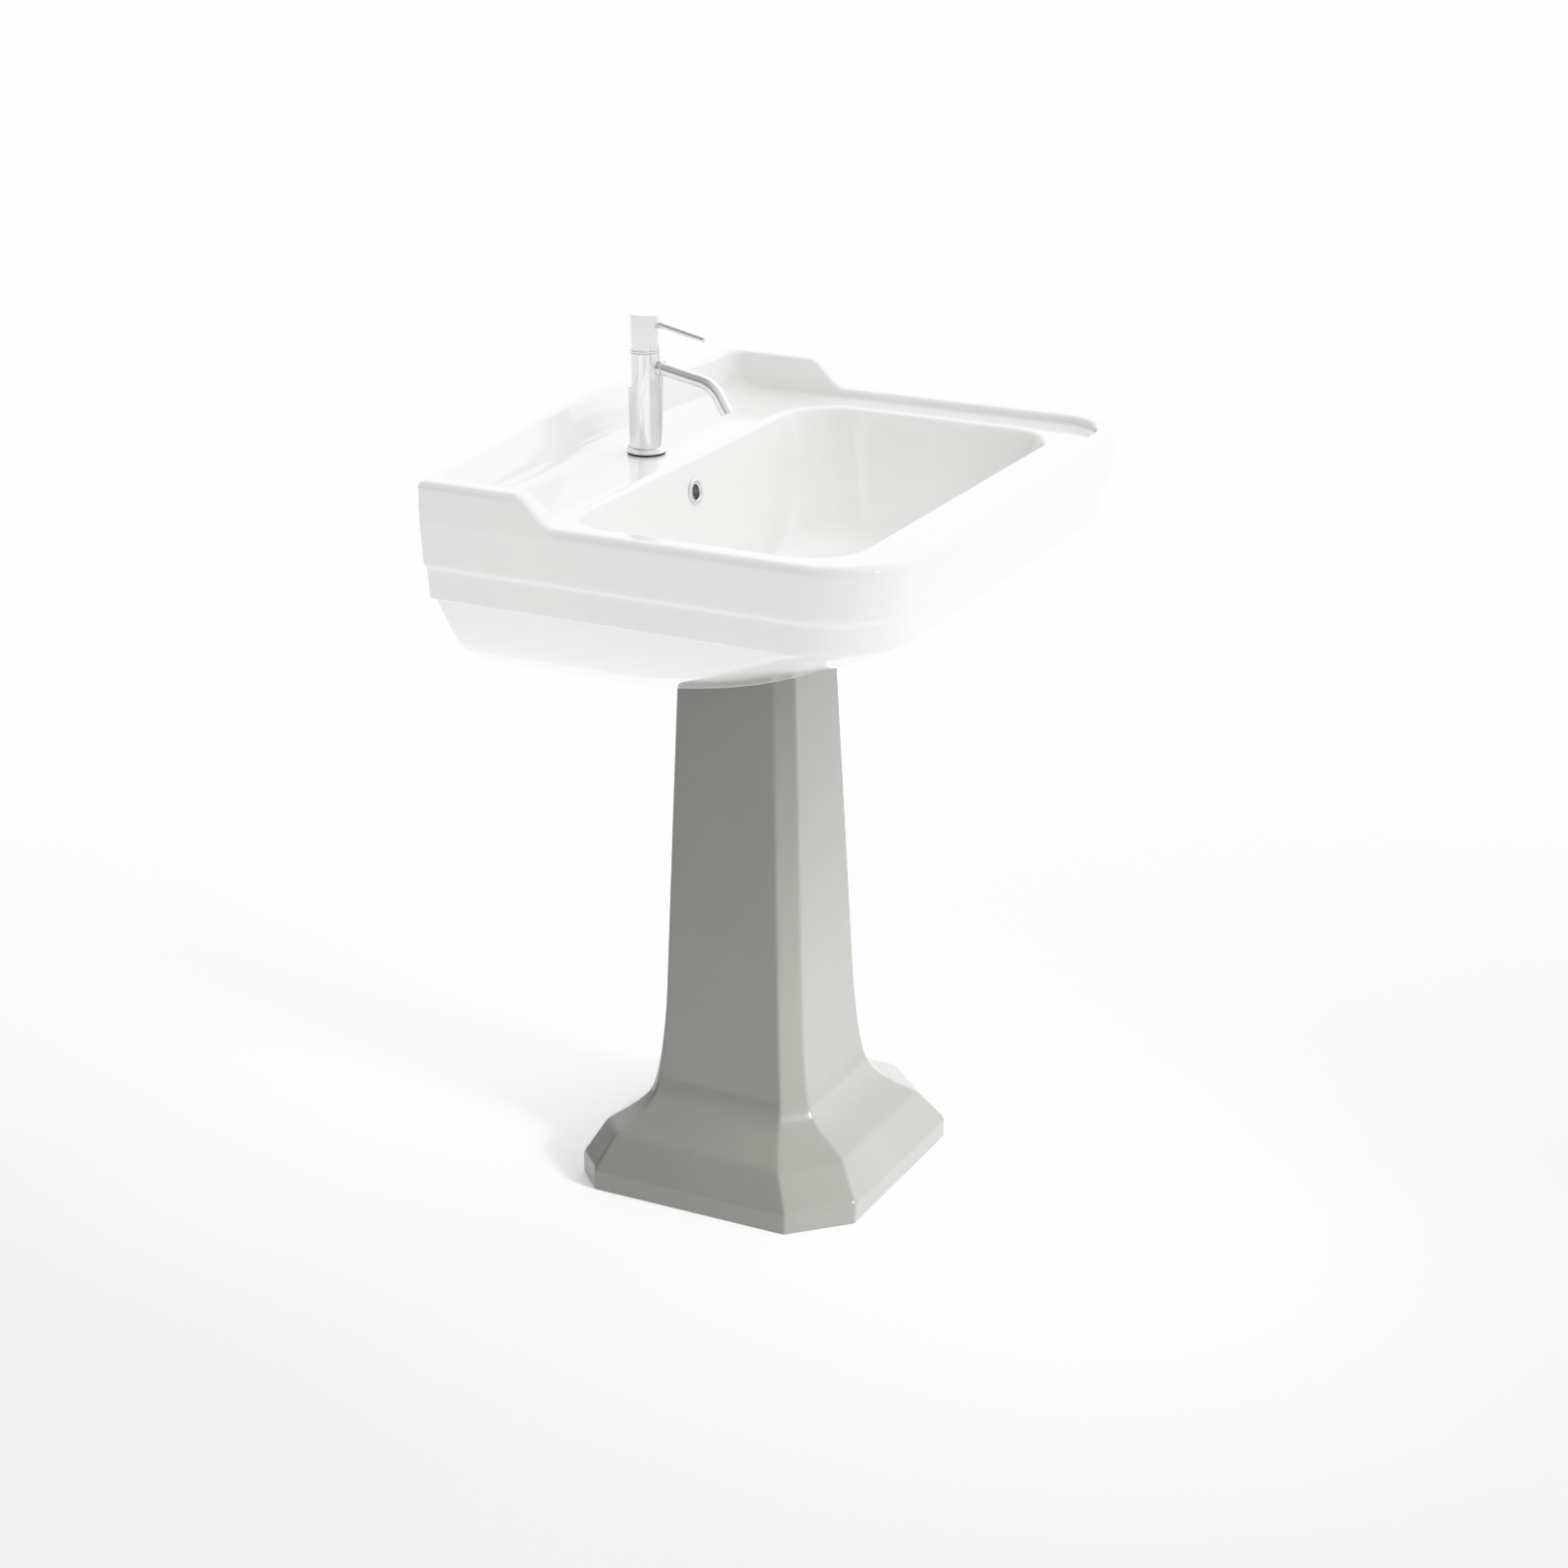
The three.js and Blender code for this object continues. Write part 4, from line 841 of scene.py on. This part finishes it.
def waste(overflow, out):
    f, s = FLOOR_Z, SEAT_Z
    ring = turned("ring", [(8.5, -9), (12.5, -9), (12.5, 0.3), (14.6, 0.3), (14.6, 1.6),
                           (13.4, 2.5), (9.6, 2.5), (8.5, 1.4)], overflow, out, soft=0.7)
    dress(ring, "overflow_ring", "chrome")
    dress(turned("seal", [(23.4, f - 2.3), (31, f - 2.3), (31, f - 1.1), (23.4, f - 1.1)], WASTE),
          "waste_seal", "rubber")
    body = turned("waste", [(17, s - 40), (17, f - 5), (22.8, f - 5), (22.8, f + 0.7),
                            (24, f + 1.2), (31.2, f + 0.7), (32.2, f - 0.8), (22.9, f - 0.8),
                            *thread_line(22.9, 0.6, f - 2, s - 12, 2.1), (21.4, s - 12.5),
                            (21.4, s - 48), (16.4, s - 48), (16.4, s - 40)], WASTE, soft=0.35)
    cut(body, block(-30, 30, PED_Y - 5, PED_Y + 5, s + 9, s + 19, 1.5),
        block(-5, 5, PED_Y - 30, PED_Y + 30, s + 9, s + 19, 1.5))
    dress(body, "waste_body", "chrome")
    dress(turned("gasket", [(23.3, s - 4), (31, s - 4), (31, s - GAP), (23.3, s - GAP)], WASTE,
                 soft=0.8), "waste_under_gasket", "rubber")
    nut = cut(keep(rod(31, s - 11.6, s - 4.3, WASTE, UP, 12),
                   turned("cone", [(0, s - 11.6), (29.6, s - 11.6), (31, s - 10.6), (31, s - 5.3),
                                   (29.6, s - 4.3), (0, s - 4.3)], WASTE, soft=0.01)),
              rod(23.3, s - 13, s, WASTE))
    dress(nut, "waste_locknut", "brass")
    guide = cut(rod(16.7, s - 8, s - 2, WASTE), rod(3.8, s - 10, s + 2, WASTE, segments=40),
                *[block(x0, x1, PED_Y + y0, PED_Y + y1, s - 10, s)
                  for x0, x1 in ((-20, -4.9), (4.9, 20)) for y0, y1 in ((3, 20), (-20, -3))])
    dress(guide, "waste_guide", "grey_plastic")
    dress(turned("seal", [(18.6, f - 4.7), (21.8, f - 4.7), (21.8, f - 3.2), (18.6, f - 3.2)],
                 WASTE, soft=0.6), "plug_seal", "rubber", "plug")
    plug = turned("plug", [(0, s - 22), (2.6, s - 22), (3.4, s - 21), (3.4, f - 4), (18.2, f - 4),
                           (18.2, f - 2.9), (22.3, f - 2.9), (22.3, f + 1.4), (21.4, f + 2.7),
                           (18.5, f + 3.6), (13, f + 4.3), (7, f + 4.7), (0, f + 4.8)], WASTE,
                  soft=0.6)
    dress(plug, "waste_plug", "chrome", "plug")


def gripped(o, r, h0, h1, at, along, count=8, width=3.2):
    """Cuts shallow grip flutes along a slip nut."""
    m = direction(along)
    flutes = []
    for k in range(count):
        a = 2 * math.pi * k / count
        offset = m @ Vector((math.cos(a) * (r + width * 0.72), math.sin(a) * (r + width * 0.72), 0))
        flutes.append(rod(width, h0, h1, tuple(Vector(at) + offset), along, 20))
    return cut(o, *flutes)


def trap():
    s, t = SEAT_Z, TRAP_Z
    at = (0, PED_Y, t)
    pipe = turned("pipe", [(14.5, t - 33), (16, t - 33), (16, s - 40.4), (14.5, s - 40.4)], WASTE,
                  soft=0.4)
    dress(pipe, "trap_inlet_pipe", "chrome")
    nut = turned("nut", [(19.8, t + 33), (23, t + 33), (23, t + 47), (22, t + 48), (16.4, t + 48),
                         (16.4, t + 45.6), (19.8, t + 45.6)], WASTE, soft=0.6)
    dress(gripped(nut, 23, t + 33.8, t + 46, WASTE, UP), "trap_inlet_nut", "chrome")
    shell = turned("shell", [(16.4, t + 45), (16.4, t + 29), (28, t + 18), (28, t - 47),
                             (30, t - 47), (30, t + 14), (28.6, t + 20.5), (24.5, t + 26),
                             (19.5, t + 30.5), (19.5, t + 45)], WASTE, soft=1.2)
    stub = cut(rod(19.5, 26, 46, at, TO_WALL), rod(28, t - 46, t + 17.9, WASTE))
    dress(cut(join(shell, stub), rod(16.4, 20, 60, at, TO_WALL)), "trap_body", "chrome")
    cup = turned("cup", [(0, t - 72), (22, t - 72), (28, t - 68), (30, t - 62), (32.8, t - 61),
                         (32.8, t - 40), (30.4, t - 40), (30.4, t - 47.3), (27, t - 47.3),
                         (27, t - 60), (20, t - 69), (0, t - 69)], WASTE, soft=1.0)
    dress(gripped(cup, 32.8, t - 59.5, t - 41.2, WASTE, UP, 14, 2.6), "trap_cup", "chrome")
    nut = turned("nut", [(19.8, 34), (23, 34), (23, 49), (22, 50), (16.4, 50), (16.4, 47.9),
                         (19.8, 47.9)], at, TO_WALL, soft=0.6)
    dress(gripped(nut, 23, 34.8, 48, at, TO_WALL), "trap_outlet_nut", "chrome")
    dress(turned("seal", [(16.7, 46.3), (19.2, 46.3), (19.2, 47.6), (16.7, 47.6)], at, TO_WALL),
          "trap_outlet_seal", "rubber")


def wall_fixings():
    inner = -CHINA
    for side, x in (("left", -BOLT_X), ("right", BOLT_X)):
        at = (x, WALL_Y, BOLT_Z)
        sleeve = turned("sleeve", [(4.8, inner - 3.3), (13, inner - 3.3), (13, inner - GAP),
                                   (7.7, inner - GAP), (7.7, -GAP), (4.8, -GAP)], at, TO_WALL)
        dress(sleeve, f"wall_sleeve_{side}", "white_plastic")
        washer = turned("washer", [(4.8, inner - 5.2), (12, inner - 5.2), (12, inner - 3.6),
                                   (4.8, inner - 3.6)], at, TO_WALL, soft=0.35)
        dress(washer, f"wall_washer_{side}", "steel")
        dress(hex_nut("nut", 17, 4.8, inner - 13, inner - 5.5, at, TO_WALL), f"wall_nut_{side}",
              "steel")
        bolt = turned("bolt", [(0, inner - 20), (3.6, inner - 20),
                               *thread_line(4.5, 0.5, inner - 19, -GAP, 1.5), (0, -GAP)], at,
                      TO_WALL, soft=0.12, segments=48)
        dress(bolt, f"wall_bolt_{side}", "steel")


# ------------------------------------------------------------------ stage
AZIMUTH, ELEVATION = -63.1948, 20.5303       # degrees round the object and above it
FILM_WIDTH, LENS = 36, 74.42                 # mm
AWAY, ASIDE, ABOVE = 3.8616, -0.0149, 0.4420  # the camera's place along its own axes, metres


def camera():
    azimuth, elevation = math.radians(AZIMUTH), math.radians(ELEVATION)
    back = Vector((math.sin(azimuth) * math.cos(elevation),
                   -math.cos(azimuth) * math.cos(elevation), math.sin(elevation)))
    right = Vector((math.cos(azimuth), math.sin(azimuth), 0))
    up = back.cross(right)
    data = bpy.data.cameras.new("camera")
    data.sensor_width, data.lens = FILM_WIDTH, LENS
    o = bpy.data.objects.new("camera", data)
    o.matrix_world = Matrix((right, up, back)).transposed().to_4x4()
    o.location = back * AWAY + right * ASIDE + up * ABOVE
    bpy.context.scene.collection.objects.link(o)
    bpy.context.scene.camera = o


def area_light(name, at, aim, size, power, beam, mirrored=True):
    """A soft box: size in metres, power in watts, beam in degrees."""
    data = bpy.data.lights.new(name, "AREA")
    data.shape, data.size, data.size_y = "RECTANGLE", *size
    data.energy, data.spread = power, math.radians(beam)
    o = bpy.data.objects.new(name, data)
    o.location = at
    o.rotation_euler = (Vector(aim) - Vector(at)).to_track_quat("-Z", "Y").to_euler()
    o.visible_glossy = mirrored
    bpy.context.scene.collection.objects.link(o)


# side that the light comes from, its strength there
SKY = [((0, 0, 1), 0.45), ((1, 0, 0), 2.2), ((0, -1, 0), 0.8), ((-1, 0, 0), 0.3)]
# the floor glows more to the back right: direction, (from, to) in metres, (least, most)
GLOW_SIDE, GLOW_SPAN, GLOW_RANGE = (0.84, 0.42, 0), (0, 2), (0.18, 1.0)
FLOOR_HALF = 60                              # metres
SCENE_WHITE = 3.0
# scene light -> shown light: straight in the darks, a soft shoulder in the whites
TONES = [(0.25, 0.25), (0.5, 0.49), (0.7, 0.66), (0.85, 0.77), (1.0, 0.86), (1.2, 0.935),
         (1.5, 0.98), (2.1, 0.995)]


def pale_floor():
    def build(tree, shader, place):
        tone = blend_colour(tree, spread(tree, noise(tree, place, 1.2, 3), 0.3, 0.7, 0, 1),
                            (0.92, 0.92, 0.92), (0.89, 0.89, 0.89))
        tree.links.new(tone, shader.inputs["Base Color"])
        away = tree.nodes.new("ShaderNodeVectorMath")
        away.operation = "DOT_PRODUCT"
        away.inputs[1].default_value = GLOW_SIDE
        tree.links.new(place, away.inputs[0])
        tree.links.new(spread(tree, away.outputs["Value"], *GLOW_SPAN, *GLOW_RANGE),
                       shader.inputs["Emission Strength"])
    paint = node_material("pale_floor", {"Roughness": 0.9, "Specular IOR Level": 0.1,
                                         "Emission Color": (1, 1, 1, 1)}, build)
    me = bpy.data.meshes.new("floor")
    far = FLOOR_HALF
    me.from_pydata([(-far, -far, 0), (far, -far, 0), (far, far, 0), (-far, far, 0)], [],
                   [[0, 1, 2, 3]])
    floor = bpy.data.objects.new("floor", me)
    me.materials.append(paint)
    floor.location.z = -0.0005
    bpy.context.scene.collection.objects.link(floor)


def studio():
    """Soft light all round, strongest from the right and the front, dim on the left."""
    world = bpy.data.worlds.new("studio")
    bpy.context.scene.world = world
    world.use_nodes = True
    tree = world.node_tree
    glow = tree.nodes["Background"]
    glow.inputs["Color"].default_value = (1, 1, 1, 1)
    place = tree.nodes.new("ShaderNodeTexCoord").outputs["Generated"]
    total = None
    for side, strength in SKY:
        lean = tree.nodes.new("ShaderNodeVectorMath")
        lean.operation = "DOT_PRODUCT"
        lean.inputs[1].default_value = side
        tree.links.new(place, lean.inputs[0])
        share = spread(tree, lean.outputs["Value"], 0, 1, 0, strength)
        if total:
            add = tree.nodes.new("ShaderNodeMath")
            tree.links.new(total, add.inputs[0])
            tree.links.new(share, add.inputs[1])
            share = add.outputs[0]
        total = share
    tree.links.new(total, glow.inputs["Strength"])
    pale_floor()
    area_light("top", (0, 0, 2.3), (0, 0, 0.8), (0.9, 0.7), 1.1, 50, False)
    area_light("foot_fill", (-0.4, -2.1, 1.35), (0, -0.1, 0.14), (0.6, 0.5), 2.7, 24)
    view = bpy.context.scene.view_settings
    view.view_transform = "Standard"
    view.use_curve_mapping = True
    curves = view.curve_mapping
    curves.white_level = (SCENE_WHITE,) * 3
    points = curves.curves[3].points
    for light, shown in TONES:
        points.new(light / SCENE_WHITE, shown)
    curves.update()


# ------------------------------------------------------------------ assembly
camera()
studio()
overflow_at, overflow_out = basin()
pedestal()
pads_and_screws()
tap_body()
cartridge()
handle()
spout()
tap_fixing()
waste(overflow_at, overflow_out)
trap()
wall_fixings()
